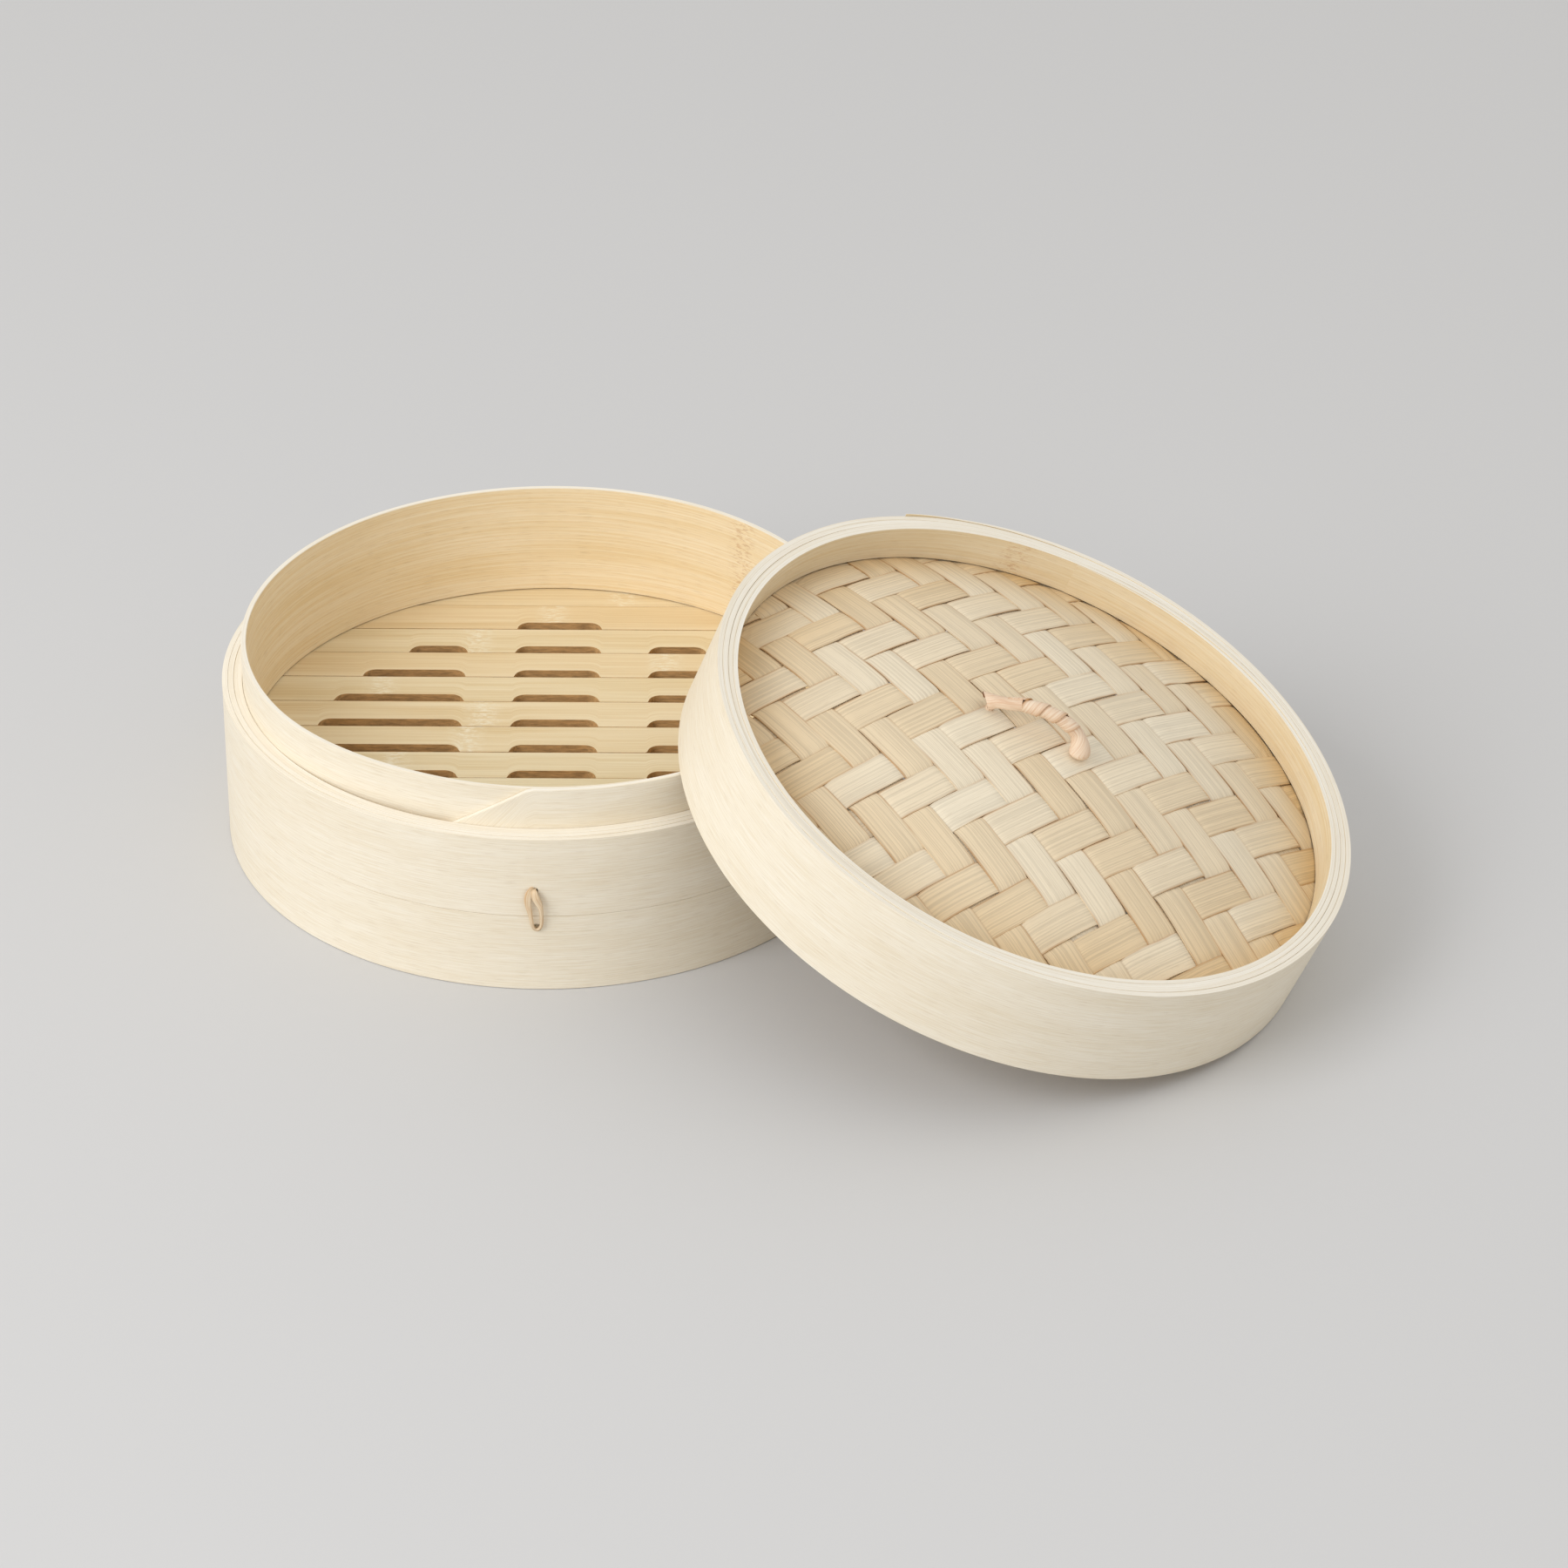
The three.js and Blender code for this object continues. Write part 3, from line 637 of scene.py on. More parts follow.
def new_tree(name, **inputs):
    """Geometry node tree with named inputs of each kind and one geometry output, and its inputs."""
    tree = bpy.data.node_groups.new(name, "GeometryNodeTree")
    tree.interface.new_socket("Geometry", in_out="OUTPUT", socket_type="NodeSocketGeometry")
    for kind, labels in inputs.items():
        for label in labels:
            tree.interface.new_socket(label, in_out="INPUT", socket_type=f"NodeSocket{kind}")
    return tree, add(tree, "NodeGroupInput").outputs


STRIP_ROWS = (170, 7, 2)  # points of a weaving strip along, across and through it
SLAT_ROWS = (400, 7, 2)
WRAP_ROWS = (190, 6, 2)
BOX_ROWS = ("Vertices X", "Vertices Y", "Vertices Z")


def numbered_boxes(tree, count, seed, rows, randoms):
    """A row of fine boxes that know their number, their random values and their own corners."""
    values = {"strip": add(tree, "GeometryNodeInputIndex")}
    for shift, (name, low, high) in enumerate(randoms):
        own_seed = add(tree, "ShaderNodeMath", {0: seed, 1: float(shift)})
        values[name] = add(
            tree, "FunctionNodeRandomValue", {2: low, 3: high, 8: own_seed}, data_type="FLOAT"
        )
    points = add(tree, "GeometryNodeMeshLine", {"Count": count})
    for name, value in values.items():
        points = add(
            tree,
            "GeometryNodeStoreNamedAttribute",
            {"Geometry": points, "Name": name, "Value": value},
            data_type="FLOAT",
            domain="POINT",
        )
    box = add(tree, "GeometryNodeMeshCube", {"Size": (2, 1, 1), **dict(zip(BOX_ROWS, rows))})
    box = add(
        tree,
        "GeometryNodeStoreNamedAttribute",
        {"Geometry": box, "Name": "local", "Value": add(tree, "GeometryNodeInputPosition")},
        data_type="FLOAT_VECTOR",
        domain="POINT",
    )
    copies = add(tree, "GeometryNodeInstanceOnPoints", {"Points": points, "Instance": box})
    return add(tree, "GeometryNodeRealizeInstances", {"Geometry": copies})


def twill_tree():
    """Strips of one direction of a domed two-over-two twill, along X in the panel's frame."""
    tree, given = new_tree(
        "twill_strips",
        Int=("Strips", "Crossings", "Seed"),
        Float=(
            "Pitch", "Width", "Slide", "Slope", "Crossing Pitch", "Crossing Slide", "Crossing Slope",
            "Side", "Shift", "Panel Radius", "Dome Radius", "Dome Rise",
            "Thickness", "Lift", "Steepness", "Curl", "Jitter",
        ),
        Material=("Material",),
    )
    math_node = "ShaderNodeMath"
    bends_along, bends_between, bend_size = 3.1, 5.7, 2.4  # steps through the noise and its strength
    edge_thinning, edge_shade_power, brown_power = -2.2, 12.0, 3.0
    grain_between = 31 * MM  # each strip reads the grain at a place of its own
    strips = numbered_boxes(
        tree, given["Strips"], given["Seed"], STRIP_ROWS, (("tint", 0.0, 1.0), ("sway", -1.0, 1.0))
    )
    local = add(tree, "GeometryNodeInputNamedAttribute", {"Name": "local"}, data_type="FLOAT_VECTOR")
    corner = add(tree, "ShaderNodeSeparateXYZ", {"Vector": local}).outputs
    # Rows of points crowd towards the strip's two edges
    from_line = add(tree, math_node, {0: corner["Y"]}, operation="ABSOLUTE")
    crowd = add(tree, math_node, {0: from_line, 1: -2.0, 2: 2.0}, operation="MULTIPLY_ADD")
    row = add(tree, math_node, {0: corner["Y"], 1: crowd}, operation="MULTIPLY")
    number = add(tree, "GeometryNodeInputNamedAttribute", {"Name": "strip"}, data_type="FLOAT")
    sway = add(tree, "GeometryNodeInputNamedAttribute", {"Name": "sway"}, data_type="FLOAT")
    last = add(tree, math_node, {0: given["Strips"], 1: 1.0}, operation="SUBTRACT")
    middle = add(tree, math_node, {0: last, 1: 0.5}, operation="MULTIPLY")
    from_middle = add(tree, math_node, {0: number, 1: middle}, operation="SUBTRACT")
    # The strips slide sideways together, most in the middle of the panel
    part = add(tree, math_node, {0: from_middle, 1: middle}, operation="DIVIDE")
    part_squared = add(tree, math_node, {0: part, 1: part}, operation="MULTIPLY")
    held = add(tree, math_node, {0: 1.0, 1: part_squared}, operation="SUBTRACT")
    slid = add(tree, math_node, {0: held, 1: given["Slide"]}, operation="MULTIPLY")
    slid = add(tree, math_node, {0: from_middle, 1: given["Pitch"], 2: slid}, operation="MULTIPLY_ADD")
    sideways = add(tree, math_node, {0: sway, 1: given["Jitter"]}, operation="MULTIPLY")
    centre = add(tree, math_node, {0: slid, 1: given["Side"], 2: sideways}, operation="MULTIPLY_ADD")
    spread = add(tree, math_node, {0: part, 1: middle}, operation="DIVIDE")
    spread = add(tree, math_node, {0: spread, 1: given["Slide"]}, operation="MULTIPLY")
    width = add(tree, math_node, {0: spread, 1: -2.0, 2: given["Width"]}, operation="MULTIPLY_ADD")
    narrower = add(tree, math_node, {0: sideways}, operation="ABSOLUTE")
    width = add(tree, math_node, {0: width, 1: narrower}, operation="SUBTRACT")
    # Slow bends of each strip's own
    bend_place = add(
        tree,
        "ShaderNodeCombineXYZ",
        {
            "X": add(tree, math_node, {0: corner["X"], 1: bends_along}, operation="MULTIPLY"),
            "Y": add(tree, math_node, {0: number, 1: bends_between}, operation="MULTIPLY"),
            "Z": given["Side"],
        },
    )
    bend = add(tree, "ShaderNodeTexNoise", {"Vector": bend_place, "Scale": 1.0, "Detail": 1.0})
    bend_off = add(tree, math_node, {0: bend, 1: 0.5}, operation="SUBTRACT")
    bent = add(tree, math_node, {0: bend_off, 1: given["Jitter"]}, operation="MULTIPLY")
    bent = add(tree, math_node, {0: bent, 1: bend_size}, operation="MULTIPLY")
    across = add(tree, math_node, {0: row, 1: width}, operation="MULTIPLY")
    # Where the strip's line, on its slope, leaves the round panel
    aside = add(tree, math_node, {0: add(tree, math_node, {0: centre, 1: bent}), 1: across})
    limit = add(tree, math_node, {0: given["Panel Radius"], 1: 0.02 * MM}, operation="SUBTRACT")
    aside = add(tree, math_node, {0: aside, 1: limit}, operation="MINIMUM")
    limit = add(tree, math_node, {0: limit, 1: -1.0}, operation="MULTIPLY")
    aside = add(tree, math_node, {0: aside, 1: limit}, operation="MAXIMUM")
    aside_squared = add(tree, math_node, {0: aside, 1: aside}, operation="MULTIPLY")
    radius_squared = add(
        tree, math_node, {0: given["Panel Radius"], 1: given["Panel Radius"]}, operation="MULTIPLY"
    )
    steep = add(tree, math_node, {0: given["Slope"], 1: given["Slope"], 2: 1.0}, operation="MULTIPLY_ADD")
    room = add(tree, math_node, {0: radius_squared, 1: steep}, operation="MULTIPLY")
    room = add(tree, math_node, {0: room, 1: aside_squared}, operation="SUBTRACT")
    reach = add(tree, math_node, {0: room}, operation="SQRT")
    offset = add(tree, math_node, {0: given["Slope"], 1: aside}, operation="MULTIPLY")
    x = add(tree, math_node, {0: corner["X"], 1: reach}, operation="MULTIPLY")
    x = add(tree, math_node, {0: x, 1: offset}, operation="SUBTRACT")
    x = add(tree, math_node, {0: x, 1: steep}, operation="DIVIDE")
    x_squared = add(tree, math_node, {0: x, 1: x}, operation="MULTIPLY")
    y = add(tree, math_node, {0: given["Slope"], 1: x, 2: aside}, operation="MULTIPLY_ADD")
    y_squared = add(tree, math_node, {0: y, 1: y}, operation="MULTIPLY")
    # Number of the crossing strip, from its own slide and slope
    crossing_last = add(tree, math_node, {0: given["Crossings"], 1: 1.0}, operation="SUBTRACT")
    crossing_middle = add(tree, math_node, {0: crossing_last, 1: 0.5}, operation="MULTIPLY")
    past = add(tree, math_node, {0: given["Crossing Slope"], 1: y, 2: x}, operation="MULTIPLY_ADD")
    past = add(tree, math_node, {0: past, 1: given["Crossing Slide"]}, operation="SUBTRACT")
    bow = add(tree, math_node, {0: given["Crossing Slide"], 1: crossing_middle}, operation="DIVIDE")
    bow = add(tree, math_node, {0: bow, 1: crossing_middle}, operation="DIVIDE")
    bow = add(tree, math_node, {0: bow, 1: past}, operation="MULTIPLY")
    pitch_squared = add(tree, math_node, {0: given["Crossing Pitch"], 1: 2.0}, operation="POWER")
    root = add(tree, math_node, {0: bow, 1: -4.0, 2: pitch_squared}, operation="MULTIPLY_ADD")
    root = add(tree, math_node, {0: root}, operation="SQRT")
    pitches = add(tree, math_node, {0: root, 1: given["Crossing Pitch"]})
    past = add(tree, math_node, {0: past, 1: 2.0}, operation="MULTIPLY")
    past = add(tree, math_node, {0: past, 1: pitches}, operation="DIVIDE")
    crossing_number = add(tree, math_node, {0: past, 1: crossing_middle})
    step = add(tree, math_node, {0: crossing_number, 1: number}, operation="SUBTRACT")
    step = add(tree, math_node, {0: step, 1: given["Side"], 2: given["Shift"]}, operation="MULTIPLY_ADD")
    # Over two and under two, with steep sides
    turn = add(tree, math_node, {0: step, 1: math.pi / 2, 2: math.pi / 4}, operation="MULTIPLY_ADD")
    over = add(tree, math_node, {0: turn}, operation="SINE")
    over = add(tree, math_node, {0: over, 1: given["Steepness"]}, operation="MULTIPLY")
    over = add(tree, math_node, {0: over}, operation="TANH")
    lift = add(tree, math_node, {0: given["Lift"], 1: given["Side"]}, operation="MULTIPLY")
    lifted = add(tree, math_node, {0: over, 1: lift}, operation="MULTIPLY")
    dome_squared = add(
        tree, math_node, {0: given["Dome Radius"], 1: given["Dome Radius"]}, operation="MULTIPLY"
    )
    out_squared = add(tree, math_node, {0: x_squared, 1: y_squared})
    fall = add(tree, math_node, {0: out_squared, 1: dome_squared}, operation="DIVIDE")
    dome = add(tree, math_node, {0: 1.0, 1: fall}, operation="SUBTRACT")
    surface = add(tree, math_node, {0: dome, 1: given["Dome Rise"], 2: lifted}, operation="MULTIPLY_ADD")
    edge = add(tree, math_node, {0: row, 1: row}, operation="MULTIPLY")
    curl = add(tree, math_node, {0: given["Curl"], 1: -4.0}, operation="MULTIPLY")
    curled = add(tree, math_node, {0: edge, 1: curl, 2: surface}, operation="MULTIPLY_ADD")
    thin = add(tree, math_node, {0: edge, 1: edge_thinning, 2: 1.0}, operation="MULTIPLY_ADD")
    thickness = add(tree, math_node, {0: thin, 1: given["Thickness"]}, operation="MULTIPLY")
    z = add(tree, math_node, {0: corner["Z"], 1: thickness, 2: curled}, operation="MULTIPLY_ADD")
    place = add(tree, "ShaderNodeCombineXYZ", {"X": x, "Y": y, "Z": z})
    strips = add(tree, "GeometryNodeSetPosition", {"Geometry": strips, "Position": place})
    grain_across = add(tree, math_node, {0: number, 1: grain_between, 2: across}, operation="MULTIPLY_ADD")
    grain = add(tree, "ShaderNodeCombineXYZ", {"X": x, "Y": grain_across})
    tint = add(tree, "GeometryNodeInputNamedAttribute", {"Name": "tint"}, data_type="FLOAT")
    tint = add(tree, math_node, {0: tint, 1: 0.5}, operation="MULTIPLY")
    browner = add(tree, math_node, {0: fall, 1: brown_power}, operation="POWER")
    tint = add(tree, math_node, {0: browner, 1: 0.5, 2: tint}, operation="MULTIPLY_ADD", use_clamp=True)
    # Nearness to the strip's edges, where brown painted shade is laid
    rim = add(tree, math_node, {0: edge, 1: 4.0}, operation="MULTIPLY")
    rim = add(tree, math_node, {0: rim, 1: edge_shade_power}, operation="POWER")
    for name, value, kind, domain in (
        (GRAIN, grain, "FLOAT2", "CORNER"),
        ("tint", tint, "FLOAT", "POINT"),
        ("edge", rim, "FLOAT", "POINT"),
    ):
        strips = add(
            tree,
            "GeometryNodeStoreNamedAttribute",
            {"Geometry": strips, "Name": name, "Value": value},
            data_type=kind,
            domain=domain,
        )
    whole = add(tree, "GeometryNodeRealizeInstances", {"Geometry": strips})
    dressed = add(tree, "GeometryNodeSetMaterial", {"Geometry": whole, "Material": given["Material"]})
    add(tree, "NodeGroupOutput", {"Geometry": dressed})
    return tree


def slat_tree():
    """Floor slats along X: each ends at the wall, and its front edge has rounded steam notches."""
    tree, given = new_tree(
        "floor_slats",
        Int=("Slats", "Seed"),
        Float=(
            "Pitch", "First Seam", "Radius", "Gap", "Thickness", "Top", "Unevenness",
            "Notch Depth", "Notch Run", "Middle Notch", "Side Start", "Shortest Notch",
            "Notch Circle", "Notch Aside", "Notch Ahead",
        ),
        Material=("Planed", "Sawn"),
    )
    math_node = "ShaderNodeMath"
    greener_each = 0.06  # tint that each slat has over the one behind it
    back_tilt, whole_tilt = 0.8, 0.6  # shares of the unevenness
    slats = numbered_boxes(
        tree,
        given["Slats"],
        given["Seed"],
        SLAT_ROWS,
        (("tint", -0.15, 0.35), ("sway", -1.0, 1.0), ("node_at", -0.07, 0.07)),
    )
    local = add(tree, "GeometryNodeInputNamedAttribute", {"Name": "local"}, data_type="FLOAT_VECTOR")
    corner = add(tree, "ShaderNodeSeparateXYZ", {"Vector": local}).outputs
    number = add(tree, "GeometryNodeInputNamedAttribute", {"Name": "strip"}, data_type="FLOAT")
    sway = add(tree, "GeometryNodeInputNamedAttribute", {"Name": "sway"}, data_type="FLOAT")
    passed = add(tree, math_node, {0: number, 1: given["Pitch"]}, operation="MULTIPLY")
    seam = add(tree, math_node, {0: given["First Seam"], 1: passed}, operation="SUBTRACT")
    last = add(tree, math_node, {0: given["Slats"], 1: 1.5}, operation="SUBTRACT")
    is_last = add(tree, math_node, {0: number, 1: last}, operation="GREATER_THAN")
    wall = add(tree, math_node, {0: given["Radius"], 1: -1.0}, operation="MULTIPLY")
    front = add(tree, "ShaderNodeMix", {0: is_last, 2: seam, 3: wall})
    behind = add(tree, math_node, {0: seam, 1: given["Pitch"]})
    behind = add(tree, math_node, {0: behind, 1: given["Gap"]}, operation="SUBTRACT")
    back = add(tree, math_node, {0: behind, 1: given["Radius"]}, operation="MINIMUM")
    row = add(tree, math_node, {0: corner["Y"], 1: 0.5})
    plain_y = add(tree, "ShaderNodeMix", {0: row, 2: front, 3: back})
    radius_squared = add(tree, math_node, {0: given["Radius"], 1: 2.0}, operation="POWER")
    y_squared = add(tree, math_node, {0: plain_y, 1: plain_y}, operation="MULTIPLY")
    room = add(tree, math_node, {0: radius_squared, 1: y_squared}, operation="SUBTRACT")
    reach = add(tree, math_node, {0: room}, operation="SQRT")
    x = add(tree, math_node, {0: corner["X"], 1: reach}, operation="MULTIPLY")
    aside = add(tree, math_node, {0: x, 1: given["Notch Aside"]}, operation="SUBTRACT")
    aside = add(tree, math_node, {0: aside}, operation="ABSOLUTE")
    ahead = add(tree, math_node, {0: front, 1: given["Notch Ahead"]})
    front_squared = add(tree, math_node, {0: ahead, 1: ahead}, operation="MULTIPLY")
    circle_squared = add(tree, math_node, {0: given["Notch Circle"], 1: 2.0}, operation="POWER")
    circle_room = add(tree, math_node, {0: circle_squared, 1: front_squared}, operation="SUBTRACT")
    notch_reach = add(tree, math_node, {0: circle_room}, operation="SQRT")
    # How far inside its nearest notch a point lies
    half = add(tree, math_node, {0: given["Middle Notch"], 1: 0.5}, operation="MULTIPLY")
    middle_fits = add(tree, math_node, {0: notch_reach, 1: half}, operation="GREATER_THAN")
    middle_in = add(tree, math_node, {0: half, 1: aside}, operation="SUBTRACT")
    middle_in = add(tree, math_node, {0: middle_in, 1: middle_fits}, operation="MULTIPLY")
    side_length = add(tree, math_node, {0: notch_reach, 1: given["Side Start"]}, operation="SUBTRACT")
    side_fits = add(tree, math_node, {0: side_length, 1: given["Shortest Notch"]}, operation="GREATER_THAN")
    side_near = add(tree, math_node, {0: aside, 1: given["Side Start"]}, operation="SUBTRACT")
    side_far = add(tree, math_node, {0: notch_reach, 1: aside}, operation="SUBTRACT")
    side_in = add(tree, math_node, {0: side_near, 1: side_far}, operation="MINIMUM")
    side_in = add(tree, math_node, {0: side_in, 1: side_fits}, operation="MULTIPLY")
    inside = add(tree, math_node, {0: middle_in, 1: side_in}, operation="MAXIMUM")
    part = add(tree, math_node, {0: inside, 1: given["Notch Run"]}, operation="DIVIDE", use_clamp=True)
    rest = add(tree, math_node, {0: 2.0, 1: part}, operation="SUBTRACT")
    bulge = add(tree, math_node, {0: part, 1: rest}, operation="MULTIPLY")
    bulge = add(tree, math_node, {0: bulge}, operation="SQRT")
    notch = add(tree, math_node, {0: bulge, 1: given["Notch Depth"]}, operation="MULTIPLY")
    cut_front = add(tree, math_node, {0: front, 1: notch})
    y = add(tree, "ShaderNodeMix", {0: row, 2: cut_front, 3: back})
    uneven = add(tree, math_node, {0: sway, 1: given["Unevenness"]}, operation="MULTIPLY")
    tilt = add(tree, math_node, {0: corner["Y"], 1: back_tilt, 2: whole_tilt}, operation="MULTIPLY_ADD")
    lowered = add(tree, math_node, {0: uneven, 1: tilt, 2: given["Top"]}, operation="MULTIPLY_ADD")
    depth = add(tree, math_node, {0: corner["Z"], 1: 0.5}, operation="SUBTRACT")
    z = add(tree, math_node, {0: depth, 1: given["Thickness"], 2: lowered}, operation="MULTIPLY_ADD")
    place = add(tree, "ShaderNodeCombineXYZ", {"X": x, "Y": y, "Z": z})
    slats = add(tree, "GeometryNodeSetPosition", {"Geometry": slats, "Position": place})
    own = add(tree, "GeometryNodeInputNamedAttribute", {"Name": "tint"}, data_type="FLOAT")
    greener = add(
        tree, math_node, {0: number, 1: greener_each, 2: own}, operation="MULTIPLY_ADD", use_clamp=True
    )
    grain = add(tree, "ShaderNodeCombineXYZ", {"X": x, "Y": plain_y})
    for name, value, kind, domain in (
        ("tint", greener, "FLOAT", "POINT"),
        (GRAIN, grain, "FLOAT2", "CORNER"),
    ):
        slats = add(
            tree,
            "GeometryNodeStoreNamedAttribute",
            {"Geometry": slats, "Name": name, "Value": value},
            data_type=kind,
            domain=domain,
        )
    whole = add(tree, "GeometryNodeRealizeInstances", {"Geometry": slats})
    planed = add(tree, "GeometryNodeSetMaterial", {"Geometry": whole, "Material": given["Planed"]})
    facing = add(tree, "ShaderNodeSeparateXYZ", {"Vector": add(tree, "GeometryNodeInputNormal")})
    upright = add(tree, math_node, {0: facing.outputs["Z"], 1: 0.5}, operation="LESS_THAN")
    sawn = add(
        tree,
        "GeometryNodeSetMaterial",
        {"Geometry": planed, "Selection": upright, "Material": given["Sawn"]},
    )
    add(tree, "NodeGroupOutput", {"Geometry": sawn})
    return tree


def wrap_tree():
    """Flat cane strip wound round an arch that stands on X, each turn lapping the one before."""
    tree, given = new_tree(
        "wound_cane",
        Float=(
            "Turns", "Half Span", "Rise", "Skew", "Core Radius", "Thickness", "From", "To", "Cover", "Lap",
        ),
        Material=("Material",),
    )
    math_node = "ShaderNodeMath"
    strip_width, edge_shade_power = 4.5 * MM, 10.0
    strip = add(tree, "GeometryNodeMeshCube", {"Size": (1, 1, 1), **dict(zip(BOX_ROWS, WRAP_ROWS))})
    corner = add(
        tree, "ShaderNodeSeparateXYZ", {"Vector": add(tree, "GeometryNodeInputPosition")}
    ).outputs
    done = add(tree, math_node, {0: corner["X"], 1: 0.5})
    stretch = add(tree, math_node, {0: given["To"], 1: given["From"]}, operation="SUBTRACT")
    per_turn = add(tree, math_node, {0: stretch, 1: given["Turns"]}, operation="DIVIDE")
    wide = add(tree, math_node, {0: per_turn, 1: given["Cover"]}, operation="MULTIPLY")
    share = add(tree, math_node, {0: done, 1: stretch, 2: given["From"]}, operation="MULTIPLY_ADD")
    share = add(tree, math_node, {0: corner["Y"], 1: wide, 2: share}, operation="MULTIPLY_ADD")
    arch = add(tree, math_node, {0: share, 1: math.pi}, operation="MULTIPLY")
    cosine = add(tree, math_node, {0: arch}, operation="COSINE")
    sine = add(tree, math_node, {0: arch}, operation="SINE")
    back = add(tree, math_node, {0: given["Half Span"], 1: -1.0}, operation="MULTIPLY")
    leaning = add(tree, math_node, {0: cosine, 1: given["Skew"]}, operation="MULTIPLY")
    swell = add(tree, math_node, {0: 1.0, 1: leaning}, operation="SUBTRACT")
    swell = add(tree, math_node, {0: swell, 1: sine}, operation="MULTIPLY")
    line = add(
        tree,
        "ShaderNodeCombineXYZ",
        {
            "X": add(tree, math_node, {0: cosine, 1: back}, operation="MULTIPLY"),
            "Z": add(tree, math_node, {0: swell, 1: given["Rise"]}, operation="MULTIPLY"),
        },
    )
    twice = add(tree, math_node, {0: arch, 1: 2.0}, operation="MULTIPLY")
    twice = add(tree, math_node, {0: twice}, operation="COSINE")
    twice = add(tree, math_node, {0: twice, 1: given["Skew"]}, operation="MULTIPLY")
    climb = add(tree, math_node, {0: twice, 1: cosine}, operation="SUBTRACT")
    outward = add(
        tree,
        "ShaderNodeCombineXYZ",
        {
            "X": add(tree, math_node, {0: climb, 1: given["Rise"]}, operation="MULTIPLY"),
            "Z": add(tree, math_node, {0: sine, 1: given["Half Span"]}, operation="MULTIPLY"),
        },
    )
    outward = add(tree, "ShaderNodeVectorMath", {0: outward}, operation="NORMALIZE")
    full = add(tree, math_node, {0: given["Turns"], 1: 2 * math.pi}, operation="MULTIPLY")
    angle = add(tree, math_node, {0: done, 1: full}, operation="MULTIPLY")
    # The strip's far edge lies on the turn before
    layer = add(tree, math_node, {0: corner["Z"], 1: 0.5})
    radius = add(
        tree,
        math_node,
        {0: layer, 1: given["Thickness"], 2: given["Core Radius"]},
        operation="MULTIPLY_ADD",
    )
    lapped = add(tree, math_node, {0: corner["Y"], 1: 0.5})
    radius = add(tree, math_node, {0: lapped, 1: given["Lap"], 2: radius}, operation="MULTIPLY_ADD")
    up = add(tree, math_node, {0: angle}, operation="COSINE")
    up = add(tree, math_node, {0: up, 1: radius}, operation="MULTIPLY")
    aside = add(tree, math_node, {0: angle}, operation="SINE")
    aside = add(tree, math_node, {0: aside, 1: radius}, operation="MULTIPLY")
    aside = add(tree, "ShaderNodeCombineXYZ", {"Y": aside})
    spoke = add(tree, "ShaderNodeVectorMath", {0: outward, "Scale": up}, operation="SCALE")
    spoke = add(tree, "ShaderNodeVectorMath", {0: spoke, 1: aside})
    place = add(tree, "ShaderNodeVectorMath", {0: line, 1: spoke})
    grain = add(
        tree,
        "ShaderNodeCombineXYZ",
        {
            "X": add(tree, math_node, {0: angle, 1: radius}, operation="MULTIPLY"),
            "Y": add(tree, math_node, {0: corner["Y"], 1: strip_width}, operation="MULTIPLY"),
        },
    )
    # Nearness to the strip's edges, where brown painted shade marks each lap
    rim = add(tree, math_node, {0: corner["Y"]}, operation="ABSOLUTE")
    rim = add(tree, math_node, {0: rim, 1: 2.0}, operation="MULTIPLY")
    rim = add(tree, math_node, {0: rim, 1: edge_shade_power}, operation="POWER")
    for name, value, kind, domain in (
        (GRAIN, grain, "FLOAT2", "CORNER"),
        ("edge", rim, "FLOAT", "POINT"),
    ):
        strip = add(
            tree,
            "GeometryNodeStoreNamedAttribute",
            {"Geometry": strip, "Name": name, "Value": value},
            data_type=kind,
            domain=domain,
        )
    wound = add(tree, "GeometryNodeSetPosition", {"Geometry": strip, "Position": place})
    whole = add(tree, "GeometryNodeRealizeInstances", {"Geometry": wound})
    dressed = add(tree, "GeometryNodeSetMaterial", {"Geometry": whole, "Material": given["Material"]})
    add(tree, "NodeGroupOutput", {"Geometry": dressed})
    return tree


def bevelled(mesh, width):
    """The mesh with its sharp edges broken."""
    work = bpy.data.objects.new("bevelled", mesh)
    broken = work.modifiers.new("edges", "BEVEL")
    broken.width = width
    broken.segments = 1
    broken.limit_method = "ANGLE"
    broken.angle_limit = math.radians(50)
    return applied(work)


def band_material():
    """Shaved outer skin of moso bamboo: pale, satin, with fine short fibres round the band."""
    finish = bpy.context.scene.steamer_finishes
    colours = finish.band_light, finish.band_deep
    return bamboo_finish(
        "bamboo band shaved", *colours, fibre=(18 * MM, 0.38 * MM), contrast=0.7, dashes=0.2, roughness=0.5
    )


def wall_material(name, nodes=(), shade=1.0):
    """Inner face of split bamboo: honey coloured, with longer fibres and a mottled node.

    shade is the share of the colour's lightness that is kept; below 1 it is painted shade.
    """
    finish = bpy.context.scene.steamer_finishes
    colours = [tuple(shade * c for c in colour) for colour in (finish.wall_light, finish.wall_deep)]
    return bamboo_finish(
        name, *colours, fibre=(70 * MM, 0.7 * MM), contrast=0.8, dashes=0.25, roughness=0.5, nodes=nodes
    )


def edge_material():
    """Cut edge of split bamboo: palest of all, partly painted light on upward edges, with close fibre lines
    along the ply.
    """
    finish = bpy.context.scene.steamer_finishes
    colours = finish.edge_light, finish.edge_deep
    return bamboo_finish(
        "bamboo cut edge", *colours, fibre=(60 * MM, 0.3 * MM), contrast=0.8, dashes=0.1, roughness=0.6
    )


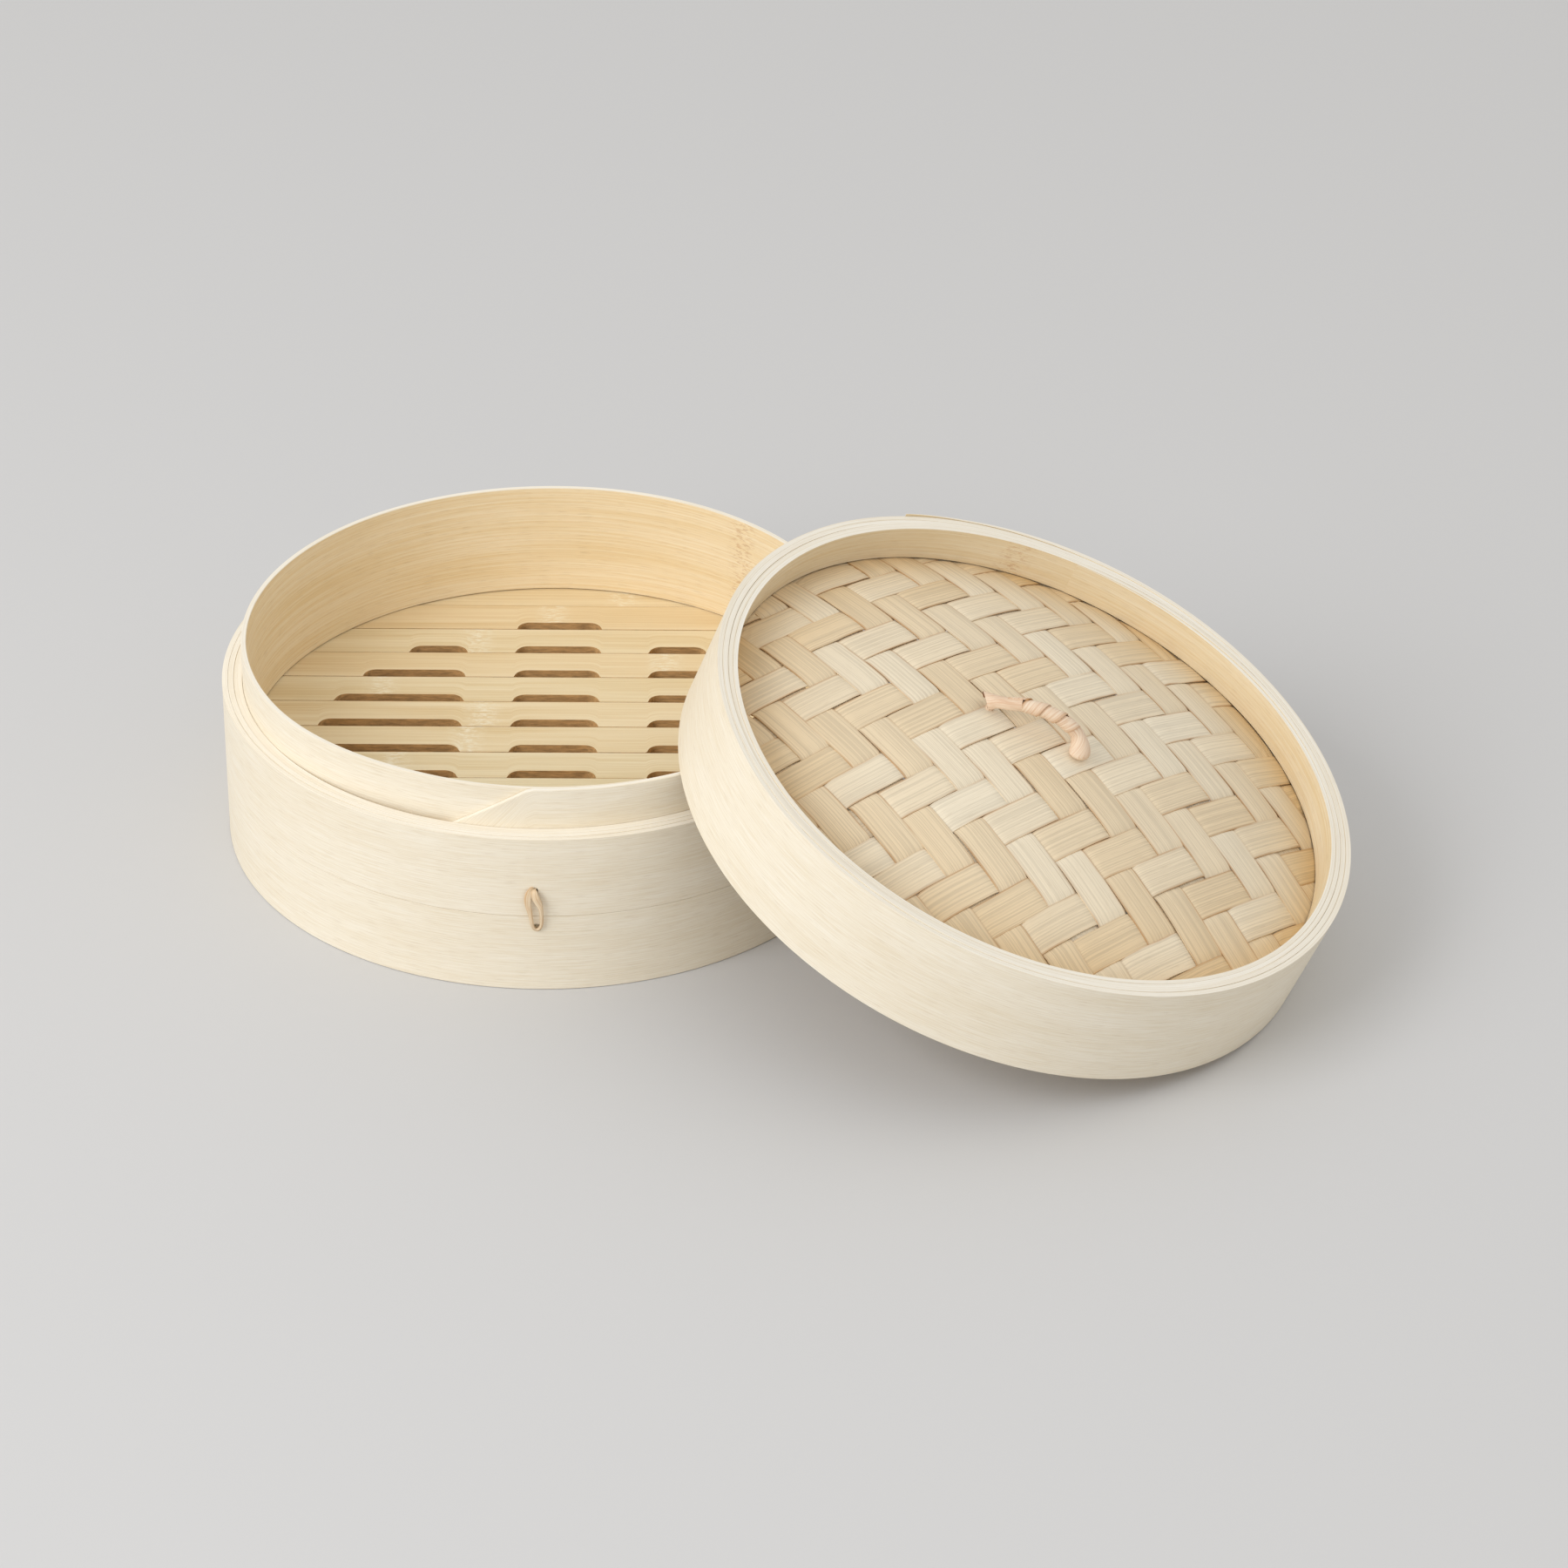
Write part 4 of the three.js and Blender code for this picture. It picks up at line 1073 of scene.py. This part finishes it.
def cane_material():
    """Split cane, peeled: rosy tan, satin, with darker fibres, and brown along its edges that is painted
    shade under the laps and partly the cane's own.
    """
    finish = bpy.context.scene.steamer_finishes
    colours = finish.cane_light, finish.cane_deep
    return bamboo_finish(
        "cane peeled", *colours, fibre=(9 * MM, 0.4 * MM), contrast=0.8, dashes=0.2, roughness=0.5, edges=0.9
    )


def tie_material():
    """Split cane, scraped: cream to tan, with a few darker fibres."""
    finish = bpy.context.scene.steamer_finishes
    colours = finish.tie_light, finish.tie_deep
    return bamboo_finish(
        "cane scraped", *colours, fibre=(9 * MM, 0.4 * MM), contrast=0.7, dashes=0.2, roughness=0.55
    )


class STEAMER_OT_bands(bpy.types.Operator):
    """Rolls the two outer bands of the basket and the ring under the floor"""

    bl_idname = "steamer.bands"
    bl_label = "Outer bands"

    def execute(self, context):
        sizes = context.scene.steamer_basket
        place = Matrix.Translation(BASKET_PLACE)
        wall = wall_material("bamboo band inner face")
        edge = edge_material()
        half_gap = sizes.seam_gap / 2
        bore = sizes.hoop_radius + 0.1 * MM  # close round the inner hoop
        lower = dict(low=0, high=sizes.seam - half_gap, start=144, seed=0.4, uneven=0.03 * MM)
        upper = dict(
            low=sizes.seam + half_gap, high=sizes.shoulder, start=108, seed=2.2, uneven=0.15 * MM
        )
        for name, band, hole in (
            ("base_lower_band", lower, TIE_LOW_HOLE),
            ("base_upper_band", upper, TIE_HIGH_HOLE),
        ):
            mesh = rolled_hoop(
                name, sizes.outer_radius, sizes.band_ply, sizes.band_plies, bore=bore, **band
            )
            mesh = shaded(moved(drill(mesh, hole, sizes.outer_radius), place), 20)
            materials = [band_material(), wall, edge]
            finish_piece(f"{name}_rolled", mesh, materials, "base", [name])
        ring_top = sizes.floor - sizes.slat_thickness - FIT
        ring = rolled_hoop(
            "floor_ring", sizes.hoop_radius, sizes.ring_ply, plies=1, low=0.1 * MM, high=ring_top,
            start=72, seed=1.1, uneven=0.1 * MM,
        )
        finish_piece(
            "base_floor_ring_rolled",
            moved(ring, place),
            [wall, wall, edge],
            "base",
            ["base_floor_ring"],
        )
        return {"FINISHED"}


# Strip of the inner hoop, in degrees: its outer end, its lap, its slanted cut and a node in its wall
HOOP_START = -111.9
HOOP_LAP = 43.2
HOOP_SLANT = 21.6
HOOP_NODE = 162.4
HOOP_SLANT_RISE = 21.9 * MM


class STEAMER_OT_inner_hoop(bpy.types.Operator):
    """Rolls the tall inner hoop, whose outer end is cut on a slant above the shoulder"""

    bl_idname = "steamer.inner_hoop"
    bl_label = "Inner hoop"

    def execute(self, context):
        sizes = context.scene.steamer_basket
        low = sizes.floor + 0.25 * MM
        rounding, uneven = 0.25 * MM, 0.12 * MM
        total = 360 + HOOP_LAP
        rings, along = [], []
        for turned in np.linspace(0, total, round(total / SECTION_STEP) + 1):
            step_in = smooth((turned - 360 + LAP) / LAP)
            taper = min((total - turned) / HOOP_LAP, 1.0)
            thickness = FEATHER + (sizes.hoop_ply - FEATHER) * taper
            surface = sizes.hoop_radius - step_in * (sizes.hoop_ply + LAP_GAP)
            top = sizes.rim - HOOP_SLANT_RISE * max(1 - turned / HOOP_SLANT, 0)
            top += uneven * wave(turned, 1.7) * min(turned / HOOP_SLANT, 1)
            azimuth = math.radians(HOOP_START + turned)
            rings.append(strip_section(azimuth, surface - thickness, surface, low, top, rounding))
            along.append(math.radians(turned) * sizes.hoop_radius)
        mesh = loft("inner_hoop", rings, along, dressed=HOOP_SIDES)
        node = math.radians(HOOP_NODE) * sizes.hoop_radius
        wall = wall_material("bamboo inner wall", (node,))
        finish_piece(
            "base_inner_hoop_rolled",
            moved(mesh, Matrix.Translation(BASKET_PLACE)),
            [band_material(), wall, edge_material()],
            "base",
            ["base_inner_hoop"],
        )
        return {"FINISHED"}


class STEAMER_OT_floor(bpy.types.Operator):
    """Lays the notched floor slats and the two bars under them"""

    bl_idname = "steamer.floor"
    bl_label = "Slatted floor"

    def execute(self, context):
        sizes = context.scene.steamer_basket
        finish = context.scene.steamer_finishes
        planed = slat_finish("bamboo slat planed", finish.slat_light, finish.slat_deep)
        sawn = sawn_finish("bamboo sawn", finish.sawn)
        radius = sizes.hoop_radius - FIT
        mesh = from_nodes(
            "floor_slats",
            slat_tree(),
            {
                "Slats": sizes.slat_count,
                "Pitch": sizes.slat_pitch,
                "First Seam": sizes.first_seam,
                "Radius": radius,
                "Gap": 0.35 * MM,
                "Thickness": sizes.slat_thickness,
                "Top": sizes.floor - 0.1 * MM,
                "Notch Depth": 4.4 * MM,
                "Notch Run": 4.2 * MM,
                "Middle Notch": 28.5 * MM,
                "Side Start": 30.5 * MM,
                "Notch Circle": 78.3 * MM,
                "Notch Aside": 1.5 * MM,
                "Notch Ahead": 7.4 * MM,
                "Shortest Notch": 10 * MM,
                "Unevenness": 0.14 * MM,
                "Seed": 4,
                "Planed": planed,
                "Sawn": sawn,
            },
        )
        mesh = shaded(bevelled(mesh, 0.25 * MM), 35)
        place = Matrix.Translation(BASKET_PLACE) @ Matrix.Rotation(sizes.floor_turn, 4, "Z")
        nodes = [f"floor_slat_{number:02d}" for number in range(1, sizes.slat_count + 1)]
        finish_piece("floor_slats_planed", moved(mesh, place), [], "base", nodes)
        for side, name in ((-1, "floor_crossbar_left"), (1, "floor_crossbar_right")):
            bar = moved(self.crossbar(sizes, side, name), place)
            finish_piece(f"{name}_planed", bar, [planed], "base", [name])
        return {"FINISHED"}

    def crossbar(self, sizes, side, name):
        """One bar across the slats, under the plain columns between the notches."""
        half_width, thickness, rounding = 5 * MM, 6 * MM, 0.6 * MM
        end_circle, end_gap = 94 * MM, 1 * MM
        reach = math.sqrt(end_circle**2 - sizes.crossbar_offset**2) - end_gap
        top = sizes.floor - sizes.slat_thickness - FIT
        ring = strip_section(math.pi / 2, -half_width, half_width, top - thickness, top, rounding)
        rings = []
        steps = np.linspace(-reach, reach, 25)
        for y in steps:
            wobble = 0.15 * MM * math.sin(y / (17 * MM) + side)
            rings.append([(r + side * sizes.crossbar_offset + wobble, y, z) for _, r, z in ring])
        return loft(name, rings, steps + reach)


def distances(line):
    """Distance along a line at each of its points."""
    steps = np.linalg.norm(np.diff(line, axis=0), axis=1)
    return np.concatenate([[0], np.cumsum(steps)])


def smooth_route(points, parts):
    """Points along a smooth curve through the given ones."""
    padded = np.concatenate([[2 * points[0] - points[1]], points, [2 * points[-1] - points[-2]]])
    line = []
    for a, b, c, d in zip(padded, padded[1:], padded[2:], padded[3:]):
        slope, bend, twist = c - a, 2 * a - 5 * b + 4 * c - d, 3 * b - a - 3 * c + d
        for t in np.linspace(0, 1, parts, endpoint=False):
            line.append(0.5 * (2 * b + slope * t + bend * t**2 + twist * t**3))
    return np.array([*line, points[-1]])


# Route of a tie in millimetres: aside, height, proud of the wall, and the strip's width there
TIE_ROUTE = (
    (-0.3, 36.4, -2.4, 1.2),
    (-0.8, 37.0, 0.3, 1.7),
    (-1.6, 36.1, 1.0, 2.0),
    (-2.1, 34.2, 1.4, 2.2),
    (-2.0, 32.0, 1.5, 1.9),
    (-1.6, 30.0, 1.5, 1.6),
    (-1.2, 27.5, 1.4, 1.3),
    (-0.9, 25.0, 1.2, 1.15),
    (-0.5, 23.5, 0.9, 1.1),
    (0.2, 22.6, 0.6, 1.05),
    (1.2, 22.9, 0.6, 1.05),
    (1.9, 24.3, 1.0, 1.05),
    (2.1, 26.5, 1.3, 1.1),
    (2.05, 29.0, 1.6, 1.2),
    (1.8, 31.3, 1.9, 1.6),
    (1.2, 33.2, 2.0, 2.3),
    (0.4, 35.0, 1.9, 2.4),
    (-0.1, 36.7, 0.9, 1.8),
    (0.1, 36.5, -2.4, 1.2),
)
# Section of a flat cane strip: share of its width across, and millimetres through
CANE_SECTION = (
    (-0.44, -0.3),
    (-0.5, 0.0),
    (-0.42, 0.3),
    (-0.2, 0.42),
    (0.2, 0.42),
    (0.42, 0.3),
    (0.5, 0.0),
    (0.44, -0.3),
)


class STEAMER_OT_ties(bpy.types.Operator):
    """Laces a split cane loop through the two outer bands, at the front and at the back"""

    bl_idname = "steamer.ties"
    bl_label = "Cane ties"

    def execute(self, context):
        sizes = context.scene.steamer_basket
        for number, azimuth in enumerate(tie_azimuths(), 1):
            mesh = self.loop(sizes.outer_radius)
            place = Matrix.Translation(BASKET_PLACE) @ Matrix.Rotation(azimuth, 4, "Z")
            name = f"wall_tie_{number:02d}"
            finish_piece(f"{name}_laced", moved(mesh, place), [tie_material()], "base", [name])
        return {"FINISHED"}

    def loop(self, wall):
        """One strip from the upper hole, down the left, round the lower hole and up the right."""
        line = smooth_route(np.array(TIE_ROUTE) * MM, 6)
        path, widths = line[:, :3], line[:, 3]
        along = distances(path)
        tangents = np.gradient(path, axis=0)
        rings = []
        for point, tangent, width in zip(path, tangents, widths):
            tangent /= np.linalg.norm(tangent)
            side = np.cross(tangent, (0.0, 0.0, 1.0))
            side /= max(np.linalg.norm(side), 1e-6)
            out = np.cross(side, tangent)
            out *= 1 if out[2] > 0 else -1
            ring = [point + side * w * width + out * t * MM for w, t in CANE_SECTION]
            rings.append([(wall + p[2], p[0], p[1]) for p in ring])
        return loft("tie", rings, along, sharp=45)


LID_NODE = 408  # degrees along the upper hoop's strip to the node in its wall
WEAVE_HALF = 0.7 * MM  # from the middle of the weave to what lies on it


class STEAMER_OT_lid_hoops(bpy.types.Operator):
    """Rolls the skirt of the lid and the two inner hoops that hold the weave"""

    bl_idname = "steamer.lid_hoops"
    bl_label = "Lid hoops"

    def execute(self, context):
        sizes = context.scene.steamer_lid
        basket = context.scene.steamer_basket
        place = lid_frame(sizes, basket)
        node = math.radians(LID_NODE) * sizes.skirt_bore
        # The lid's recess wall is a darker copy of the inner wall colour: painted shade in the recess
        wall = wall_material("bamboo lid inner wall", (node,), shade=0.91)
        plain = wall_material("bamboo band inner face")
        inside = sizes.skirt_bore + 0.1 * MM  # close under the skirt's inner turn
        skirt = dict(
            outside=basket.outer_radius, ply=sizes.ply + 0.2 * MM, plies=2, low=0, high=sizes.height,
            start=141, seed=0.9, uneven=0.22 * MM, lift=0.6 * MM, way=-1,
        )
        upper = dict(
            outside=inside, ply=sizes.ply, plies=2, low=sizes.panel_height + WEAVE_HALF,
            high=sizes.height, start=70.9, seed=2.6, uneven=0.25 * MM,
        )
        lower = dict(
            outside=inside, ply=3 * MM, plies=1, low=15.1 * MM, high=22.1 * MM,
            start=72, seed=1.3, uneven=0.1 * MM,
        )
        for name, hoop, inner, slot in (
            ("lid_outer_hoop", skirt, plain, "pale_bamboo"),
            ("lid_upper_inner_hoop", upper, wall, "honey_bamboo"),
            ("lid_lower_inner_hoop", lower, plain, "honey_bamboo"),
        ):
            mesh = moved(rolled_hoop(name, **hoop), place)
            materials = [band_material(), inner, edge_material()]
            finish_piece(f"{name}_rolled", mesh, materials, "lid", [name])
        return {"FINISHED"}


class STEAMER_OT_weave(bpy.types.Operator):
    """Weaves the domed panel of the lid in a two-over-two twill"""

    bl_idname = "steamer.weave"
    bl_label = "Woven panel"

    def execute(self, context):
        sizes = context.scene.steamer_lid
        finish = context.scene.steamer_finishes
        # Split, unpolished weaving strip: pale to tan, matt, with fine dark fibre lines along it, and brown
        # painted shade along its edges where the strips cross
        strip = bamboo_finish(
            "bamboo weaving strip",
            finish.strip_pale,
            tuple(0.85 * c for c in finish.strip_pale),
            fibre=(45 * MM, 0.55 * MM),
            contrast=0.6,
            dashes=0.2,
            roughness=0.58,
            tinted=(finish.strip_tan, tuple(0.8 * c for c in finish.strip_tan)),
            lines=0.6,
            edges=0.65,
        )
        tree = twill_tree()
        shared = {
            "Shift": 2.0,
            "Panel Radius": sizes.panel_radius,
            "Dome Radius": sizes.dome_radius,
            "Dome Rise": sizes.dome_rise,
            "Thickness": 0.6 * MM,
            "Lift": 0.46 * MM,
            "Steepness": 6.0,
            "Curl": 0.1 * MM,
            "Jitter": 0.45 * MM,
            "Material": strip,
        }
        # Number, slide and slope of the strips in each direction
        weft = (sizes.wefts, -5.3 * MM, -0.05)
        warp = (sizes.warps, -1.4 * MM, 0.0)
        panel = Matrix.Translation((0, 0, sizes.panel_height))
        raised = lid_frame(sizes, context.scene.steamer_basket) @ panel
        for name, own, crossing, side, seed, turn in (
            ("lid_weft", weft, warp, 1.0, 3, sizes.weave_turn),
            ("lid_warp", warp, weft, -1.0, 8, sizes.weave_turn + math.pi / 2),
        ):
            pitch = 2 * sizes.panel_radius / own[0]
            values = {
                **shared,
                "Strips": own[0],
                "Pitch": pitch,
                "Width": pitch - 0.08 * MM,
                "Slide": own[1],
                "Slope": own[2],
                "Crossings": crossing[0],
                "Crossing Pitch": 2 * sizes.panel_radius / crossing[0],
                "Crossing Slide": crossing[1],
                "Crossing Slope": crossing[2],
                "Side": side,
                "Seed": seed,
            }
            mesh = shaded(from_nodes(name, tree, values), 35)
            place = raised @ Matrix.Rotation(turn, 4, "Z")
            nodes = [f"{name}_{number:02d}" for number in range(1, own[0] + 1)]
            finish_piece(f"{name}_strips", moved(mesh, place), [], "lid", nodes)
        return {"FINISHED"}


HANDLE_ALONG = -3.9 * MM  # place of the handle's middle on the lid, along the lean direction
HANDLE_ACROSS = 0.7 * MM
HANDLE_TURN = math.radians(12)  # from the lean direction
HANDLE_TAIL = 7 * MM  # how far each end of the core reaches past its leg, under the weave
TAIL_DEPTH = 4 * MM  # how far below the arch's feet those ends lie
ARCH_START = 0.37  # share of the arch where it bends down into its high leg
LEG_START = 0.66  # share of the arch where the low leg's sleeve starts
# Ends of the handle's high leg, as X, Y and Z: the wrap's strip and the core inside it
WRAP_END = np.array(((-10.3, 0.0, 5.0), (-14.0, 0.6, 3.2), (-17.2, 1.3, 1.4))) * MM
CORE_END = MM * np.array(
    (
        (-10.3, 0.0, 4.9),
        (-12.6, 0.5, 3.7),
        (-14.2, 1.1, 2.0),
        (-14.9, 1.4, 0.2),
        (-15.0, 1.4, -2.0),
    )
)


class STEAMER_OT_handle(bpy.types.Operator):
    """Bends the cane handle and winds its wrap"""

    bl_idname = "steamer.handle"
    bl_label = "Cane handle"

    def execute(self, context):
        sizes = context.scene.steamer_lid
        crown = sizes.panel_height + sizes.dome_rise + WEAVE_HALF
        place = (
            lid_frame(sizes, context.scene.steamer_basket)
            @ Matrix.Translation((HANDLE_ALONG, HANDLE_ACROSS, crown))
            @ Matrix.Rotation(HANDLE_TURN, 4, "Z")
        )
        cane = cane_material()
        wrap = from_nodes(
            "handle_wrap",
            wrap_tree(),
            {
                "Turns": 3.0,
                "Half Span": sizes.handle_span,
                "Rise": sizes.handle_rise,
                "Skew": sizes.handle_skew,
                "Core Radius": sizes.handle_radius + 0.12 * MM,
                "Thickness": 0.45 * MM,
                "From": 0.33,
                "To": 0.69,
                "Cover": 1.12,
                "Lap": 0.55 * MM,
                "Material": cane,
            },
        )
        # Cut end of the cane strip: dark brown and rough. On the tail it also covers the curl's
        # inner face as painted shade.
        cut = sawn_finish("cane cut end and shade", context.scene.steamer_finishes.cane_cut_and_shade)
        for name, mesh, materials, node in (
            ("handle_wrap_wound", shaded(wrap, 40), [], "handle_wrap"),
            ("handle_wrap_tail", self.tail(sizes), [cane, cut], "handle_wrap"),
            ("handle_wrap_leg", self.leg(sizes), [cane], "handle_wrap"),
            ("handle_core_bent", self.core(sizes), [cane], "handle_core"),
        ):
            finish_piece(name, moved(mesh, place), materials, "lid", [node])
        return {"FINISHED"}

    def arch(self, sizes, share):
        """Middle line of the handle and its outward direction, as X and Z."""
        a = math.pi * share
        swell = math.sin(a) * (1 - sizes.handle_skew * math.cos(a))
        climb = sizes.handle_rise * (math.cos(a) - sizes.handle_skew * math.cos(2 * a))
        outward = np.array((-climb, sizes.handle_span * math.sin(a)))
        point = np.array((-sizes.handle_span * math.cos(a), sizes.handle_rise * swell))
        return point, outward / np.linalg.norm(outward)

    def tail(self, sizes):
        """Start of the wrap: a curled strip along the high leg, flared at its cut end."""
        thickness, points = 0.42 * MM, 15
        curl, flare = 2.05 * MM, 0.5 * MM  # radius of the curled strip, and what it gains at its end
        covered, opened = 128, 18  # degrees that it covers each way, and what it loses by its end
        cut_slant = 0.55
        (x, z), _ = self.arch(sizes, ARCH_START)
        route = smooth_route(np.array([(x, 0, z), *WRAP_END]), 6)
        along = distances(route)
        tangents = np.gradient(route, axis=0)
        rings = []
        for (x, y, z), tangent, done in zip(route, tangents, along / along[-1]):
            up = np.array((tangent[2], -tangent[0])) / math.hypot(tangent[2], tangent[0])
            radius = curl + flare * smooth((done - 0.5) / 0.5)
            half_angle = math.radians(covered - opened * done)
            slant = cut_slant * smooth((done - 0.55) / 0.45)
            ring = []
            for r, angles in (
                (radius, np.linspace(-half_angle, half_angle, points)),
                (radius - thickness, np.linspace(half_angle, -half_angle, points)),
            ):
                for angle in angles:
                    rise = r * math.cos(angle)
                    aside = r * math.sin(angle)
                    ring.append((x + up[0] * rise - slant * aside, y + aside, z + up[1] * rise))
            rings.append(ring)
        # The inner face and long edges take material 1: brown of the cut on the edges, painted shade inside
        # the curl
        inside = {side: 1 for side in range(points - 1, 2 * points)}
        return loft("tail", rings, along, sharp=40, dressed=inside, caps=1)

    def leg(self, sizes):
        """End of the wrap: a smooth sleeve down the low leg, knobbed where it meets the weave."""
        sleeve, wider, thicker = 2.2 * MM, 1.1 * MM, 1.2 * MM  # radius, and what the knob adds to it
        ahead, aside = 0.5 * MM, -2.9 * MM  # how far the knob stands off the arch
        rings, points = [], []
        for share in np.linspace(LEG_START, 1.0, 20):
            point, outward = self.arch(sizes, share)
            points.append(point)
            # The knob swells from 0.78 of the arch on, and its end is rounded from 0.93 on
            knob = smooth((share - 0.78) / 0.17)
            rounded = math.sqrt(1 - max((share - 0.93) / 0.0705, 0) ** 2)
            across = (sleeve + wider * knob) * rounded
            through = (sleeve + thicker * knob) * rounded
            ring = []
            for a in np.linspace(0, 2 * math.pi, 20, endpoint=False):
                x, z = point + outward * through * math.cos(a)
                ring.append((x + ahead * knob, across * math.sin(a) + aside * knob, z))
            rings.append(ring)
        return loft("leg", rings, distances(np.array(points)), sharp=50)

    def core(self, sizes):
        """Round cane from under the weave, over the arch and down again."""
        span, radius, low = sizes.handle_span, sizes.handle_radius, -TAIL_DEPTH
        aside = CORE_END[-1][1]
        points = [(-span - HANDLE_TAIL, aside, low), (-span - 2 * MM, aside, low), *CORE_END[::-1]]
        for share in np.linspace(ARCH_START, 1, 11):
            (x, z), _ = self.arch(sizes, share)
            points.append((x, 0, z))
        points += [(span, -1 * MM, -1.5 * MM), (span + 1.6 * MM, 0, low), (span + HANDLE_TAIL, 0, low)]
        line = smooth_route(np.array(points), 4)
        tangents = np.gradient(line, axis=0)
        rings = []
        for (x, y, z), tangent in zip(line, tangents):
            up = np.array((-tangent[2], tangent[0])) / math.hypot(tangent[2], tangent[0])
            ring = []
            for a in np.linspace(0, 2 * math.pi, 16, endpoint=False):
                rise = radius * math.sin(a)
                ring.append((x + up[0] * rise, y + radius * math.cos(a), z + up[1] * rise))
            rings.append(ring)
        return loft("handle_core", rings, distances(line), sharp=45)


# The photograph's camera: its place from the middle of the basket's foot, its downward angle and roll
CAMERA_SPOT = Vector((76.9, -1289.7, 809.5)) * MM
CAMERA_DOWN = math.radians(31.747)
CAMERA_ROLL = math.radians(1.029)
SURROUND = (1.0, 0.985, 0.955, 1.0)  # warm white of the even light, linear
# Middle of the large lamp and the point that it faces, in metres
SOFTBOX_SPOT = Vector((-1.63, -1.37, 1.49))
SOFTBOX_AIM = Vector((0, 0, 0.04))


class STEAMER_OT_stage(bpy.types.Operator):
    """Lays the paper floor and sets the camera and the light"""

    bl_idname = "steamer.stage"
    bl_label = "Stage"

    def execute(self, context):
        scene = context.scene
        scene.view_settings.view_transform = "Standard"
        self.floor(scene)
        self.camera(scene)
        self.light(scene)
        return {"FINISHED"}

    def floor(self, scene):
        """Wide sheet of pale grey paper."""
        mesh = bpy.data.meshes.new("paper")
        half = 12.0
        corners = [(-half, -half, 0), (half, -half, 0), (half, half, 0), (-half, half, 0)]
        mesh.from_pydata(corners, [], [(0, 1, 2, 3)])
        # Uncoated paper: flat grey, no shine
        material = bpy.data.materials.new("paper matt grey")
        material.use_nodes = True
        shader = material.node_tree.nodes["Principled BSDF"]
        shader.inputs["Base Color"].default_value = rgba(scene.steamer_finishes.floor)
        shader.inputs["Roughness"].default_value = 0.9
        shader.inputs["Specular IOR Level"].default_value = 0.1
        mesh.materials.append(material)
        paper = bpy.data.objects.new("paper_floor", mesh)
        paper.location.z = -0.2 * MM
        scene.collection.objects.link(paper)

    def camera(self, scene):
        """Camera of the photograph: far off, a long lens, looking along +Y and down."""
        data = bpy.data.cameras.new("camera")
        data.sensor_width = 36.0
        data.lens = 106.0
        data.clip_start = 0.05
        data.clip_end = 50.0
        camera = bpy.data.objects.new("camera", data)
        turn = Matrix.Rotation(math.pi / 2 - CAMERA_DOWN, 4, "X") @ Matrix.Rotation(CAMERA_ROLL, 4, "Z")
        camera.matrix_world = Matrix.Translation(BASKET_PLACE + CAMERA_SPOT) @ turn
        scene.collection.objects.link(camera)
        scene.camera = camera

    def light(self, scene):
        """Large soft lamp from the upper left and an even pale surround."""
        world = bpy.data.worlds.new("surround")
        scene.world = world
        world.use_nodes = True
        background = world.node_tree.nodes["Background"]
        background.inputs["Color"].default_value = SURROUND
        background.inputs["Strength"].default_value = 0.75
        lamp = bpy.data.lights.new("softbox", "AREA")
        lamp.shape = "SQUARE"
        lamp.size = 1.5
        lamp.energy = 31.0
        softbox = bpy.data.objects.new("softbox", lamp)
        softbox.location = SOFTBOX_SPOT
        softbox.rotation_euler = (SOFTBOX_AIM - SOFTBOX_SPOT).to_track_quat("-Z", "Y").to_euler()
        softbox.visible_camera = False
        scene.collection.objects.link(softbox)


class STEAMER_PT_panel(bpy.types.Panel):
    """Lists the steps that dress the steamer"""

    bl_label = "Bamboo steamer"
    bl_idname = "STEAMER_PT_panel"
    bl_space_type = "VIEW_3D"
    bl_region_type = "UI"
    bl_category = "Steamer"

    def draw(self, context):
        for step in STEPS:
            self.layout.operator(step.bl_idname)
        for group in ("steamer_basket", "steamer_lid", "steamer_finishes"):
            box = self.layout.box()
            settings = getattr(context.scene, group)
            for name in settings.bl_rna.properties.keys():
                if name not in ("rna_type", "name"):
                    box.prop(settings, name)


STEPS = (
    STEAMER_OT_stage,
    STEAMER_OT_bands,
    STEAMER_OT_inner_hoop,
    STEAMER_OT_floor,
    STEAMER_OT_ties,
    STEAMER_OT_lid_hoops,
    STEAMER_OT_weave,
    STEAMER_OT_handle,
)
CLASSES = (BasketSizes, LidSizes, Finishes, *STEPS, STEAMER_PT_panel)


def register():
    for cls in CLASSES:
        bpy.utils.register_class(cls)
    bpy.types.Scene.steamer_basket = PointerProperty(type=BasketSizes)
    bpy.types.Scene.steamer_lid = PointerProperty(type=LidSizes)
    bpy.types.Scene.steamer_finishes = PointerProperty(type=Finishes)


def unregister():
    del bpy.types.Scene.steamer_finishes
    del bpy.types.Scene.steamer_lid
    del bpy.types.Scene.steamer_basket
    for cls in reversed(CLASSES):
        bpy.utils.unregister_class(cls)


def main():
    """Dresses the steamer."""
    register()
    bpy.ops.steamer.stage()
    bpy.ops.steamer.bands()
    bpy.ops.steamer.inner_hoop()
    bpy.ops.steamer.floor()
    bpy.ops.steamer.ties()
    bpy.ops.steamer.lid_hoops()
    bpy.ops.steamer.weave()
    bpy.ops.steamer.handle()


if __name__ == "__main__":
    main()
